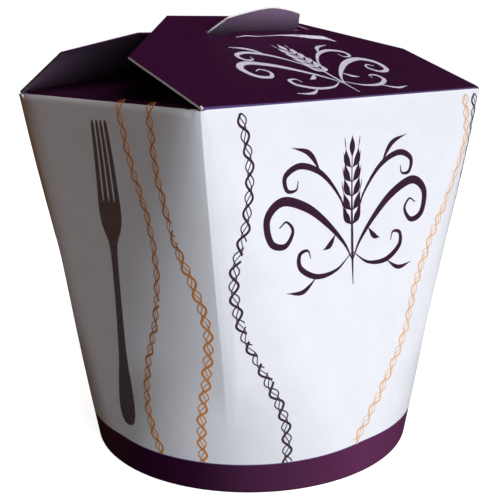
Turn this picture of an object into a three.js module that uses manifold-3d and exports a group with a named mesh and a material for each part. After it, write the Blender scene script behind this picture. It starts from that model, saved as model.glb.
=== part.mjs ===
// A noodle takeaway box with its lid shut: a paperboard pail, round at the base and rectangular at
// the rim, closed by two side flaps, a back flap with a tongue, and a front flap with a slot that
// the tongue is pushed through.
// Millimetres, +Z up. The origin is the centre of the base, on the surface that the box stands on,
// and the front wall faces -Y.

import * as THREE from 'three';
import { mergeVertices } from 'three/addons/utils/BufferGeometryUtils.js';
import Module from 'manifold-3d';

const wasm = await Module();
wasm.setup();

// ---- driving dimensions ----

const BOARD = 0.5;               // thickness of the paperboard
const CLEARANCE = 0.35;          // gap left between pieces that lie on each other

const RIM_WIDTH = 98;            // outside, along X
const RIM_DEPTH = 86;            // outside, along Y
const RIM_HEIGHT = 99.6;
const RIM_CORNER_RADIUS = 0.8;
const BASE_RADIUS = 46.5;

const FOLD_ANGLE = 72;           // degrees that the wall turns in the corner crease at the rim
const FOLD_START = 0.1;          // share of the height at which the crease has died away
const CREASE_BULGE = 0.35;       // share of the crease's swelling that isn't taken up by the walls
const CREASE_WIDTH = 2;          // between the two score lines of a corner

const RING_WIDTH = 1.9;          // thickness of the turned-in seam round the base
const RECESS_DEPTH = 7.4;        // height of that seam
const EDGE_ROUND = 0.6;          // at the foot of the wall

const FLAP_INSET = 0.6;          // of a flap's side edge from the end of its crease
const SHOULDER_ANGLE = 43.6;     // degrees between a flap's crease and its slanting shoulders
const FRONT_SLOPE = 20.3;        // degrees above horizontal
const FRONT_SIDE_LENGTH = 29.7;  // straight part of the flap's side edges
const FRONT_LENGTH = 58;

const SLOT_DISTANCE = 44.2;      // of the slot's straight part from the front crease
const SLOT_HALF_WIDTH = 27;
const SLOT_STRAIGHT = 14;        // half the straight part
const SLOT_DROP = 7;             // how far its ends curve towards the crease
const SLOT_OPENING = 4.2;        // the tongue holds its lips this far apart
const SLOT_END_SHARE = 0.15;     // of that opening, left at its ends

const BACK_SLOPE = 23.4;
const BACK_SIDE_LENGTH = 28;
const BACK_KNEE = 3.6;           // distance behind the centre at which the flap bends over
const BACK_KNEE_RISE = 15.9;     // height of that bend above the rim
const SHOULDER_REACH = 8;        // how far the flap runs past the centre, under the front flap

const TONGUE_SLOPE = 39;
const TONGUE_LENGTH = 11.2;
const TONGUE_HALF_WIDTH = 15.2;
const TONGUE_SIDE_LENGTH = 2.9;
const TONGUE_END_HALF_WIDTH = 12.2;
const TONGUE_END_LENGTH = 8;     // at that half width, where its crowned end begins
const TONGUE_CROWN = 1.5;        // power of the crown's fall from its middle to its corners
const TONGUE_SLANT = 0.08;       // rise of its end for each millimetre to the right, being askew
const TONGUE_OFFSET = 1;         // to the right, as the lid is pushed shut
const TONGUE_ROOT = 0.2;         // distance behind the centre at which it bends up

const SIDE_SLOPE = 8;
const SIDE_LENGTH = 45;
const SIDE_INSET = 2.4;          // at the crease, to pass under the front and back flaps
const SIDE_TAPER = 0.4;          // narrowing of each edge for each millimetre of length

const PLUM = 0x38102f;
const BOARD_WHITE = 0xeef0f7;

const RIGHT_ANGLE = Math.PI / 2;
const radians = (degrees) => THREE.MathUtils.degToRad(degrees);
const slopeHeight = (run, slope) => run * Math.tan(radians(slope));

// ---- solids ----

// A closed geometry as a manifold-3d solid, without its zero-area triangles.
function toSolid(geometry) {
  const bare = geometry.clone();
  for (const name of Object.keys(bare.attributes)) {
    if (name !== 'position') bare.deleteAttribute(name);
  }
  const merged = mergeVertices(bare, 1e-4);
  const index = merged.index.array;
  const kept = [];
  for (let i = 0; i < index.length; i += 3) {
    const [a, b, c] = [index[i], index[i + 1], index[i + 2]];
    if (a !== b && b !== c && c !== a) kept.push(a, b, c);
  }
  return new wasm.Manifold(new wasm.Mesh({
    numProp: 3,
    vertProperties: new Float32Array(merged.attributes.position.array),
    triVerts: new Uint32Array(kept),
  }));
}

function toGeometry(solid) {
  const mesh = solid.getMesh();
  const geometry = new THREE.BufferGeometry();
  geometry.setAttribute('position', new THREE.BufferAttribute(mesh.vertProperties, 3));
  geometry.setIndex(new THREE.BufferAttribute(mesh.triVerts, 1));
  geometry.computeVertexNormals();
  return geometry;
}

// A prism that stands on the outline [x, y], from one height to another.
function standingPrism(outline, low, high) {
  const shape = new THREE.Shape(outline.map(([x, y]) => new THREE.Vector2(x, y)));
  const geometry = new THREE.ExtrudeGeometry(shape, { depth: high - low, bevelEnabled: false });
  return toSolid(geometry.translate(0, 0, low));
}

// A sheet of board folded along lines parallel to X. The profile [y, z] is its upper surface,
// given from +Y to -Y, and the board's thickness lies below it.
function foldedSheet(profile, halfWidth) {
  const points = profile.map(([y, z]) => new THREE.Vector2(y, z));
  const directions = points.slice(1).map((p, i) => p.clone().sub(points[i]).normalize());
  const underside = points.map((p, i) => {
    const before = directions[Math.max(i - 1, 0)];
    const after = directions[Math.min(i, directions.length - 1)];
    const inward = (d) => new THREE.Vector2(-d.y, d.x);
    const mitre = inward(before).add(inward(after)).normalize();
    return p.clone().addScaledVector(mitre, BOARD / mitre.dot(inward(before)));
  });
  const shape = new THREE.Shape([...points, ...underside.reverse()]);
  const geometry = new THREE.ExtrudeGeometry(shape, { depth: 2 * halfWidth, bevelEnabled: false });
  // the shape's plane becomes YZ, and the extrusion runs along X
  geometry.applyMatrix4(new THREE.Matrix4().makeBasis(
    new THREE.Vector3(0, 1, 0), new THREE.Vector3(0, 0, 1), new THREE.Vector3(1, 0, 0)));
  return toSolid(geometry.translate(-halfWidth, 0, 0));
}

// Cuts a sheet to an outline seen from above.
function dieCut(sheet, outline) {
  return sheet.intersect(standingPrism(outline, 0, 2 * RIM_HEIGHT));
}

// ---- the pail ----

// One corner of the wall's section, anticlockwise from +X to +Y: an arc, the two score lines of the
// crease with the narrow facet between them, and an arc again.
function cornerPoints(share, inset) {
  const arcSteps = 5;
  const centre = new THREE.Vector2(
    share * (RIM_WIDTH / 2 - RIM_CORNER_RADIUS), share * (RIM_DEPTH / 2 - RIM_CORNER_RADIUS));
  const leastFold = 2;
  const creased = Math.max(0, (share - FOLD_START) / (1 - FOLD_START));
  const fold = radians(Math.max(leastFold, FOLD_ANGLE * creased));
  const roundRadius = THREE.MathUtils.lerp(BASE_RADIUS, RIM_CORNER_RADIUS, share) - inset;
  const radius = roundRadius * THREE.MathUtils.lerp(Math.cos(fold / 2), 1, CREASE_BULGE);
  const arc = (RIGHT_ANGLE - fold) / 2;
  const onArc = (angle) => new THREE.Vector2(Math.cos(angle), Math.sin(angle))
    .multiplyScalar(radius).add(centre);

  // the flat stretches beside the crease run on from the arcs, almost to where they would meet
  const mostOfCorner = 0.9;
  const reach = radius * Math.tan(fold / 2);
  const facet = Math.min(CREASE_WIDTH, 2 * mostOfCorner * reach * Math.cos(fold / 2));
  const run = reach - facet / (2 * Math.cos(fold / 2));
  const first = onArc(arc)
    .addScaledVector(new THREE.Vector2(-Math.sin(arc), Math.cos(arc)), run);
  const last = onArc(RIGHT_ANGLE - arc)
    .addScaledVector(new THREE.Vector2(Math.cos(arc), -Math.sin(arc)), run);

  const points = [];
  for (let i = 0; i <= arcSteps; i++) points.push(onArc(arc * i / arcSteps));
  points.push(first, last);
  for (let i = 0; i <= arcSteps; i++) points.push(onArc(RIGHT_ANGLE - arc + arc * i / arcSteps));
  return points;
}

// The wall's whole section at a height.
function wallSection(height, inset = 0) {
  const corner = cornerPoints(height / RIM_HEIGHT, inset);
  const mirrored = [...corner].reverse();
  const quadrants = [
    corner,
    mirrored.map((p) => new THREE.Vector2(-p.x, p.y)),
    corner.map((p) => new THREE.Vector2(-p.x, -p.y)),
    mirrored.map((p) => new THREE.Vector2(p.x, -p.y)),
  ];
  return quadrants.flat().map((p) => new THREE.Vector3(p.x, p.y, height));
}

function loft(sections) {
  const positions = [];
  const addTriangle = (a, b, c) => positions.push(...a.toArray(), ...b.toArray(), ...c.toArray());
  const count = sections[0].length;
  for (let level = 0; level + 1 < sections.length; level++) {
    const [low, high] = [sections[level], sections[level + 1]];
    for (let i = 0; i < count; i++) {
      const j = (i + 1) % count;
      addTriangle(low[i], low[j], high[j]);
      addTriangle(low[i], high[j], high[i]);
    }
  }
  const floor = sections[0];
  const top = sections[sections.length - 1];
  for (let i = 0; i < count; i++) {
    const j = (i + 1) % count;
    addTriangle(new THREE.Vector3(0, 0, floor[0].z), floor[j], floor[i]);
    addTriangle(new THREE.Vector3(0, 0, top[0].z), top[i], top[j]);
  }
  const geometry = new THREE.BufferGeometry();
  geometry.setAttribute('position', new THREE.Float32BufferAttribute(positions, 3));
  return geometry;
}

// Solid up to the lid's flaps, with the shallow recess of a turned-in base seam.
function cartonBody() {
  const levels = 12;
  const top = RIM_HEIGHT - BOARD - CLEARANCE;
  const sections = [wallSection(0, EDGE_ROUND)];
  for (let i = 0; i <= levels; i++) {
    sections.push(wallSection(THREE.MathUtils.lerp(EDGE_ROUND, top, i / levels)));
  }
  const recess = new THREE.CylinderGeometry(
    BASE_RADIUS - RING_WIDTH, BASE_RADIUS - RING_WIDTH, 2 * RECESS_DEPTH, 64);
  return toSolid(loft(sections)).subtract(toSolid(recess.rotateX(RIGHT_ANGLE)));
}

// The round base panel, up inside the seam.
function baseDisc() {
  const radius = BASE_RADIUS - RING_WIDTH - CLEARANCE;
  const middle = RECESS_DEPTH - CLEARANCE - BOARD / 2;
  const disc = new THREE.CylinderGeometry(radius, radius, BOARD, 64);
  return toSolid(disc.rotateX(RIGHT_ANGLE).translate(0, 0, middle));
}

// ---- the lid ----

// The outline of a flap with straight side edges and slanting shoulders, as seen from above:
// [x, distance from the crease].
function flapOutline(sideLength, length, slope) {
  const halfWidth = RIM_WIDTH / 2 - FLAP_INSET;
  const noseHalf = halfWidth - (length - sideLength) / Math.tan(radians(SHOULDER_ANGLE));
  const run = Math.cos(radians(slope));
  return [
    [-halfWidth, 0], [halfWidth, 0], [halfWidth, sideLength * run],
    [noseHalf, length * run], [-noseHalf, length * run], [-halfWidth, sideLength * run],
  ];
}

// The slot is a straight cut whose ends curve towards the crease, a little open.
function slotOutline() {
  const steps = 6;
  const run = Math.cos(radians(FRONT_SLOPE));
  const path = [];
  const end = SLOT_HALF_WIDTH - SLOT_STRAIGHT;
  for (let i = 0; i <= steps; i++) {
    const angle = RIGHT_ANGLE * i / steps;
    path.push([SLOT_STRAIGHT + end * Math.sin(angle), SLOT_DROP * (1 - Math.cos(angle))]);
  }
  const side = path.map(([x, drop]) => [x, (SLOT_DISTANCE - drop) * run]);
  const half = SLOT_OPENING * run / 2;
  const openAt = (x) => half * THREE.MathUtils.lerp(1, SLOT_END_SHARE,
    THREE.MathUtils.clamp((x - SLOT_STRAIGHT) / end, 0, 1));
  const far = side.map(([x, y]) => [x, y + openAt(x)]);
  const near = side.map(([x, y]) => [x, y - openAt(x)]);
  const mirror = (points) => [...points].reverse().map(([x, y]) => [-x, y]);
  return [...mirror(near), ...near, ...[...far].reverse(), ...mirror(far).reverse()];
}

function frontFlap() {
  const crease = -RIM_DEPTH / 2;
  const run = FRONT_LENGTH * Math.cos(radians(FRONT_SLOPE));
  const sheet = foldedSheet(
    [[crease + run, RIM_HEIGHT + slopeHeight(run, FRONT_SLOPE)], [crease, RIM_HEIGHT]],
    RIM_WIDTH / 2);
  const place = (outline) => outline.map(([x, y]) => [x, crease + y]);
  const outline = flapOutline(FRONT_SIDE_LENGTH, FRONT_LENGTH, FRONT_SLOPE);
  const slot = standingPrism(place(slotOutline()), RIM_HEIGHT, 2 * RIM_HEIGHT);
  return dieCut(sheet, place(outline)).subtract(slot);
}

// Height of the front flap's upper surface above the plane of the rim.
const frontHeight = (y) => slopeHeight(y + RIM_DEPTH / 2, FRONT_SLOPE);

function backFlap() {
  const crease = RIM_DEPTH / 2;
  const hinge = [crease, RIM_HEIGHT];
  const bendRun = BACK_SIDE_LENGTH * Math.cos(radians(BACK_SLOPE));
  const bend = [crease - bendRun, RIM_HEIGHT + slopeHeight(bendRun, BACK_SLOPE)];
  const knee = [BACK_KNEE, RIM_HEIGHT + BACK_KNEE_RISE];

  // the shoulders bend over to lie against the front flap's underside
  const underFront = (y) => RIM_HEIGHT + frontHeight(y)
    - (BOARD + CLEARANCE) / Math.cos(radians(FRONT_SLOPE));
  const shoulderEnd = [-SHOULDER_REACH, underFront(-SHOULDER_REACH)];
  const length = (crease + SHOULDER_REACH) / Math.cos(radians(BACK_SLOPE));
  const outline = flapOutline(BACK_SIDE_LENGTH, length, BACK_SLOPE)
    .map(([x, y]) => [x, crease - y]);
  const slitHalf = TONGUE_HALF_WIDTH + CLEARANCE;
  const slitEnd = -2 * SHOULDER_REACH;
  const slit = standingPrism([
    [TONGUE_OFFSET - slitHalf, slitEnd], [TONGUE_OFFSET + slitHalf, slitEnd],
    [TONGUE_OFFSET + slitHalf, BACK_KNEE - BOARD], [TONGUE_OFFSET - slitHalf, BACK_KNEE - BOARD],
  ], 0, 2 * RIM_HEIGHT);
  const sheet = foldedSheet([hinge, bend, knee, shoulderEnd], RIM_WIDTH / 2);

  // the tongue bends up again and passes through the slot
  const root = [TONGUE_ROOT, underFront(TONGUE_ROOT)];
  const run = TONGUE_LENGTH * Math.cos(radians(TONGUE_SLOPE));
  const tip = [TONGUE_ROOT - run, root[1] + slopeHeight(run, TONGUE_SLOPE)];
  const tongue = foldedSheet([bend, knee, root, tip], RIM_WIDTH / 2);
  return dieCut(sheet, outline).subtract(slit).add(dieCut(tongue, tongueOutline()));
}

// The tongue with its root, seen from above: straight sides, cut corners and a crowned end.
function tongueOutline() {
  const endSteps = 10;
  const rootOverlap = 2;
  const run = Math.cos(radians(TONGUE_SLOPE));
  const place = (x, length) => [TONGUE_OFFSET + x, TONGUE_ROOT - length * run];
  const askew = (x, length) => place(x, length + TONGUE_SLANT * x);
  const back = -(BACK_KNEE - TONGUE_ROOT + rootOverlap) / run;
  const outline = [place(TONGUE_HALF_WIDTH, back), place(-TONGUE_HALF_WIDTH, back)];
  outline.push(askew(-TONGUE_HALF_WIDTH, TONGUE_SIDE_LENGTH));
  for (let i = 0; i <= endSteps; i++) {
    const across = THREE.MathUtils.lerp(-1, 1, i / endSteps);
    const fall = Math.abs(across) ** TONGUE_CROWN;
    outline.push(askew(across * TONGUE_END_HALF_WIDTH,
      THREE.MathUtils.lerp(TONGUE_LENGTH, TONGUE_END_LENGTH, fall)));
  }
  outline.push(askew(TONGUE_HALF_WIDTH, TONGUE_SIDE_LENGTH));
  return outline;
}

// A side flap, under the other two, with its crease at +Y until it is turned into place.
function sideFlap() {
  const run = SIDE_LENGTH * Math.cos(radians(SIDE_SLOPE));
  const crease = RIM_WIDTH / 2;
  const sheet = foldedSheet(
    [[crease, RIM_HEIGHT], [crease - run, RIM_HEIGHT + slopeHeight(run, SIDE_SLOPE)]],
    RIM_DEPTH / 2);
  const foot = RIM_DEPTH / 2 - SIDE_INSET;
  const nose = foot - SIDE_TAPER * SIDE_LENGTH;
  return dieCut(sheet, [[foot, crease], [-foot, crease], [-nose, crease - run],
    [nose, crease - run]]);
}

// ---- assembly ----

const whiteBoard = new THREE.MeshStandardMaterial({ color: BOARD_WHITE, roughness: 0.35 });
const plumBoard = new THREE.MeshStandardMaterial({ color: PLUM, roughness: 0.3 });
const plainBoard = new THREE.MeshStandardMaterial({ color: 0xe6e2da, roughness: 0.7 });

const group = new THREE.Group();
function addPiece(name, solid, material) {
  const mesh = new THREE.Mesh(toGeometry(solid), material);
  mesh.name = name;
  group.add(mesh);
  return mesh;
}

addPiece('carton_body', cartonBody(), whiteBoard);
addPiece('base_disc', baseDisc(), plainBoard);
addPiece('left_side_flap', sideFlap(), plumBoard).rotation.z = RIGHT_ANGLE;
addPiece('right_side_flap', sideFlap(), plumBoard).rotation.z = -RIGHT_ANGLE;
addPiece('back_flap', backFlap(), plumBoard);
addPiece('front_flap', frontFlap(), plumBoard);

export default group;
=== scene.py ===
"""A noodle takeaway box with its lid shut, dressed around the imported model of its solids.

The pail is round at the base and rectangular at the rim. Two side flaps, a back flap and a front
flap close it, and the back flap's tongue is pushed through the slot in the front flap.
Lengths are in millimetres while a shape is worked out, and in metres in Blender. +Z is up, the
origin is the centre of the base, and the front wall faces -Y.
"""

import math
from collections import namedtuple

import bpy
import numpy as np
from bpy.props import FloatProperty, FloatVectorProperty, PointerProperty
from mathutils import Matrix, Vector
from mathutils.geometry import delaunay_2d_cdt


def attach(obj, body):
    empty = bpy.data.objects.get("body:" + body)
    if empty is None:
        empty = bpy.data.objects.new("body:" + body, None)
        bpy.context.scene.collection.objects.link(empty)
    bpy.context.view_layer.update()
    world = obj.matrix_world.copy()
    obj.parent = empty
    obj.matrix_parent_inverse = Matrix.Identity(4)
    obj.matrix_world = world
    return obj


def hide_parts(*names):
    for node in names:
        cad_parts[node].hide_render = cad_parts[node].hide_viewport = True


bl_info = {
    "name": "Noodle Takeaway Box",
    "version": (1, 0, 0),
    "blender": (4, 5, 0),
    "location": "3D View > Sidebar > Noodle Box",
    "description": "Builds a shut paperboard noodle box, its printing and its studio stage",
    "category": "Object",
}

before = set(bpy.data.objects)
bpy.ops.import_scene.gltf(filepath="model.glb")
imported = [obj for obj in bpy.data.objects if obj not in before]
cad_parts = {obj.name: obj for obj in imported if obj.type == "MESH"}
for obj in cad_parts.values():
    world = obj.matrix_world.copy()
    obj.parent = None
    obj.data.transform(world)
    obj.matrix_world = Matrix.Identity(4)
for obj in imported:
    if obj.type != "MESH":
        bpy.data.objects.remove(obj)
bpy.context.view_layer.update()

MM = 0.001

# ---- sizes in millimetres, the same as those of the solids ----

BOARD = 0.5
RIM_WIDTH = 98.0
RIM_DEPTH = 86.0
RIM_HEIGHT = 99.6
RIM_CORNER_RADIUS = 0.8
BASE_RADIUS = 46.5
FOLD_START = 0.1
CREASE_BULGE = 0.35
CREASE_WIDTH = 2.0
RING_WIDTH = 1.9
RECESS_DEPTH = 7.4

FLAP_INSET = 0.6
SHOULDER_ANGLE = math.radians(43.6)
FRONT_SLOPE = math.radians(20.3)
FRONT_SIDE_LENGTH = 29.7
FRONT_LENGTH = 58.0
SLOT_DISTANCE = 44.2
SLOT_HALF_WIDTH = 27.0
SLOT_STRAIGHT = 14.0
SLOT_DROP = 7.0
SLOT_OPENING = 4.2
SLOT_END_SHARE = 0.15

BACK_SLOPE = math.radians(23.4)
BACK_SIDE_LENGTH = 28.0
BACK_KNEE = 3.6
BACK_KNEE_RISE = 15.9
SHOULDER_REACH = 8.0
SLIT_WIDTH = 0.35

TONGUE_SLOPE = math.radians(39.0)
TONGUE_LENGTH = 11.2
TONGUE_HALF_WIDTH = 15.2
TONGUE_SIDE_LENGTH = 2.9
TONGUE_END_HALF_WIDTH = 12.2
TONGUE_END_LENGTH = 8.0
TONGUE_CROWN = 1.5
TONGUE_SLANT = 0.08
TONGUE_OFFSET = 1.0
TONGUE_ROOT = 0.2

SIDE_SLOPE = math.radians(8.0)
SIDE_LENGTH = 45.0
SIDE_INSET = 2.4
SIDE_TAPER = 0.4

# ---- sizes of what only the dressed box has ----

FOLD_ANGLE = math.radians(84.0)    # that the wall turns in a corner crease at the rim
SIDE_SCORE_MORE = 0.42     # share of it, above a half, that the side wall's score line takes
LEAST_FOLD = math.radians(2.0)          # near the base, where the wall is round
FACET_ROOM = 0.9           # most of the room between two runs that a corner's facet takes up
SCORE_DEPTH = 0.1          # how far the other score line is pressed in
SCORE_FADES = (34.0, 46.0, 70.0, 95.0)  # heights between which it fades in and out

FLAP_START = 98.2          # height at which the front and back walls' board becomes a flap's
SIDE_FLAP_START = 97.4     # the same on the side walls, whose folds are rounder
SIDE_FLAP_SHARE = 0.97     # of a side wall's half depth, along which it has a flap
CORNER_TOP = 99.1          # height of the cut corners between the flaps
CORNER_EASE = 0.1          # between a flap's cut edge and the corner's round
EDGE_STEP = (-0.4, 0.3)    # distances from its crease between which a flap's edge steps out

FOLD_RADIUS = 0.9          # of the front and back flaps at their creases
SIDE_FOLD_RADIUS = 2.2
BACK_BEND_RADIUS = 6.0     # where the back flap's straight sides end
KNEE_RADIUS = 2.0
ROOT_RADIUS = 1.2          # of the tongue's root
SLIT_FROM_KNEE = 0.6
PRINT_START = 0.3          # share of the way round the first fold at which a flap's print starts
SIDE_PRINT_START = 0.55

# The tongue pushes the slot's lips up: by how much, between which places across the flap it
# fades in and out, and how far beside the slot it reaches.
NEAR_LIFT, NEAR_LIFT_FADES, NEAR_LIFT_REACH = 1.15, (-13.0, -5.0, 21.0, 27.0), 7.5
FAR_LIFT, FAR_LIFT_FADES, FAR_LIFT_REACH = 1.2, (-13.0, 4.0, 14.0, 21.0), 7.0
NEAR_LIFT_FALL = 4.5       # the last stretch of its reach, over which the near lip's lift fades
LIP_OVERLAP = 1.0          # how far past a lip, into the slot, the lift holds
LIPS_PARTED = (-16.2, -12.6)            # places between which the lips part, from closed
LIPS_LEFT_OPEN = 0.08      # share of the slot's opening where they are closed
SLOT_CLOSED = -14.0        # left of this the slot's own edge is painted plum, as painted shade where the slot is closed

# Cut edges of the back flap painted as shade: on the right, those between two heights, which are
# the tongue's, in the violet bounce colour, and on the left, those past a place, in plum.
TONGUE_EDGE_SHADE = (112.0, 118.5)
SHOULDER_EDGE_SHADE = -17.0

PRINT_PROUD = 0.05         # thickness of the printed ink, drawn thick enough to stay clear
PRINT_SUNK = 0.01          # how deep it starts in the board
LINE_SPACING = 0.3         # between the points of a printed line
STRAND_PITCH = 7.0

SMOOTH_BELOW = math.radians(32)         # angle between faces that shade as one
WALL_SMOOTH_BELOW = math.radians(24)


# ---- colours ----

def linear(hex_code):
    """An sRGB hex colour as linear red, green and blue."""
    parts = [int(hex_code[i:i + 2], 16) / 255 for i in (1, 3, 5)]
    return tuple(p / 12.92 if p <= 0.04045 else ((p + 0.055) / 1.055) ** 2.4 for p in parts)


def colour(name, description, hex_code):
    return FloatVectorProperty(name=name, description=description, subtype="COLOR", size=3,
                               min=0.0, max=1.0, default=linear(hex_code))


def length(name, description, default):
    return FloatProperty(name=name, description=description, unit="LENGTH",
                         default=default * MM, precision=4)


class NoodleBoxSizes(bpy.types.PropertyGroup):
    """Sizes of the creases and of the printing"""
    fold_angle: FloatProperty(
        name="Fold angle", subtype="ANGLE", default=FOLD_ANGLE,
        description="How far the wall turns in a corner crease at the rim")
    crease_width: length("Crease width", "Distance between a corner's two score lines",
                         CREASE_WIDTH)
    band_height: length("Band height", "Height of the dark band round the base", 9.0)
    strand_reach: length("Strand reach", "How far a strand's lines swing to each side", 1.15)
    strand_pitch: length("Strand pitch", "Length of one twist of a strand", STRAND_PITCH)


class NoodleBoxColours(bpy.types.PropertyGroup):
    """Colours of the board and the inks"""
    board: colour("Board", "Coated face of the board", "#f3f4fa")
    core: colour("Core", "Cut edge of the board", "#f4f2f0")
    underside: colour("Underside", "Uncoated face of the board", "#cfc6bb")
    # the flaps' undersides are white board; this colour is a painted violet bounce from the plum
    # print with painted shade
    lining: colour("Lining", "Thin violet print on the flaps' undersides", "#a083a4")
    plum: colour("Plum", "Ink of the lid and the band", "#330e2d")
    # the band's plum painted paler on its side towards the light: a painted sheen
    rubbed: colour("Rubbed plum", "The band's ink where it is rubbed paler", "#5f2d52")
    ochre: colour("Ochre", "Ink of the light strands", "#dd9048")
    # a paler copy of the ochre, painted lighter for the brightly lit front wall
    peach: colour("Peach", "Ink of the front wall's light strand", "#f0c49a")
    lilac: colour("Lilac", "Ink of the lid's ornament", "#e6dff0")
    # also the colour of the painted reflection along the front flap's fold
    violet: colour("Violet", "Thin edge of a plum print", "#4e3d74")


class NoodleBoxSettings(bpy.types.PropertyGroup):
    """Everything that can be set on the box"""
    sizes: PointerProperty(type=NoodleBoxSizes)
    colours: PointerProperty(type=NoodleBoxColours)


# ---- nodes ----

NODE_SPACING = 190


def add_node(tree, kind, inputs=None, **settings):
    """Adds a node with its settings, and sets or links its inputs by name or number."""
    node = tree.nodes.new(kind)
    node.location = (NODE_SPACING * len(tree.nodes), 0)
    for key, value in settings.items():
        setattr(node, key, value)
    for key, value in (inputs or {}).items():
        if isinstance(value, bpy.types.NodeSocket):
            tree.links.new(value, node.inputs[key])
        else:
            node.inputs[key].default_value = value
    return node


def work_out(tree, values, steps):
    """Adds one Math node for each step (result, operation, operands), where an operand is a
    number or the name of an earlier result, and adds the results to values."""
    for result, operation, *operands in steps:
        inputs = {i: values.get(o, o) if isinstance(o, str) else o
                  for i, o in enumerate(operands)}
        node = add_node(tree, "ShaderNodeMath", inputs, operation=operation, label=result)
        values[result] = node.outputs[0]


def new_geometry_tree(name, inputs):
    """A geometry tree with a geometry input and output, and the named inputs (type, default)."""
    tree = bpy.data.node_groups.new(name, "GeometryNodeTree")
    tree.interface.new_socket("Geometry", in_out="INPUT", socket_type="NodeSocketGeometry")
    tree.interface.new_socket("Geometry", in_out="OUTPUT", socket_type="NodeSocketGeometry")
    for label, (kind, default) in inputs.items():
        socket = tree.interface.new_socket(label, in_out="INPUT", socket_type=kind)
        if default is not None:
            socket.default_value = default
    return tree, add_node(tree, "NodeGroupInput"), add_node(tree, "NodeGroupOutput")


def shape_with(obj, tree, values):
    """Gives obj the tree as a modifier with these inputs, and returns the result as a mesh."""
    modifier = obj.modifiers.new(tree.name, "NODES")
    modifier.node_group = tree
    for item in tree.interface.items_tree:
        if item.item_type == "SOCKET" and item.in_out == "INPUT" and item.name in values:
            modifier[item.identifier] = values[item.name]
    obj.update_tag()
    graph = bpy.context.evaluated_depsgraph_get()
    mesh = bpy.data.meshes.new_from_object(obj.evaluated_get(graph), depsgraph=graph)
    obj.modifiers.remove(modifier)
    return mesh


# ---- meshes ----

def new_object(name, data):
    obj = bpy.data.objects.new(name, data)
    bpy.context.scene.collection.objects.link(obj)
    return obj


def finish_piece(name, mesh, slot, replaced=(), smooth_below=SMOOTH_BELOW):
    """Makes a finished mesh a piece of the box."""
    mesh.shade_smooth()
    mesh.set_sharp_from_angle(angle=smooth_below)
    piece = new_object(name, mesh)
    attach(piece, "root")
    if replaced:
        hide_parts(*replaced)


def rings_joined(ring_count, size, closed=False):
    """Faces that join rings of points, each to the next one, and if closed the last to the
    first."""
    faces = []
    for ring in range(ring_count if closed else ring_count - 1):
        a, b = ring * size, (ring + 1) % ring_count * size
        for c in range(size):
            beside = (c + 1) % size
            faces.append((a + c, b + c, b + beside, a + beside))
    return faces


def discard(obj):
    data = obj.data
    bpy.data.objects.remove(obj)
    (bpy.data.curves if isinstance(data, bpy.types.Curve) else bpy.data.meshes).remove(data)


# ---- materials ----

def new_material(name, finish):
    """A node material, its Principled shader with a finish, and its Object coordinates in mm."""
    material = bpy.data.materials.new(name)
    material.use_nodes = True
    tree = material.node_tree
    tree.nodes.clear()
    output = add_node(tree, "ShaderNodeOutputMaterial")
    shader = add_node(tree, "ShaderNodeBsdfPrincipled", finish)
    tree.links.new(shader.outputs[0], output.inputs["Surface"])
    place = add_node(tree, "ShaderNodeTexCoord").outputs["Object"]
    metres_to_mm = 1 / MM
    millimetres = add_node(tree, "ShaderNodeVectorMath", {0: place, "Scale": metres_to_mm},
                           operation="SCALE").outputs[0]
    return material, tree, shader, millimetres


def coat(tree, shader, place, tint, *relief):
    """Gives a shader its colour, and bump from noise layers (size in mm, height in mm), each
    laid on the one before."""
    tree.links.new(tint, shader.inputs["Base Color"])
    bump = {}
    for size, height in relief:
        noise = add_node(tree, "ShaderNodeTexNoise",
                         {"Vector": place, "Scale": 1 / size, "Detail": 3.0, "Roughness": 0.55})
        layer = {"Height": noise.outputs["Fac"], "Distance": height * MM, "Strength": 1.0}
        bump = {"Normal": add_node(tree, "ShaderNodeBump", {**layer, **bump}).outputs[0]}
    if bump:
        tree.links.new(bump["Normal"], shader.inputs["Normal"])


def shaded(rgb, tone):
    return (*(min(1.0, c * tone) for c in rgb), 1)


def mottled(tree, place, size, rgb, dark, light):
    """A colour that drifts between a dark and a light tone over patches of a size in mm."""
    noise = add_node(tree, "ShaderNodeTexNoise",
                     {"Vector": place, "Scale": 1 / size, "Detail": 4.0, "Roughness": 0.6})
    ramp = add_node(tree, "ShaderNodeValToRGB", {"Fac": noise.outputs["Fac"]})
    for stop, position, tone in zip(ramp.color_ramp.elements, (0.35, 0.65), (dark, light)):
        stop.position, stop.color = position, shaded(rgb, tone)
    return ramp.outputs[0]


PAINTED_SHEEN_FROM, PAINTED_SHEEN_TO = -40.0, -2.0    # where across the box the band's plum turns paler, a painted sheen towards the light
VIOLET_EDGE = 0.3                       # over which the band's ink thins to violet at its top


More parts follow.
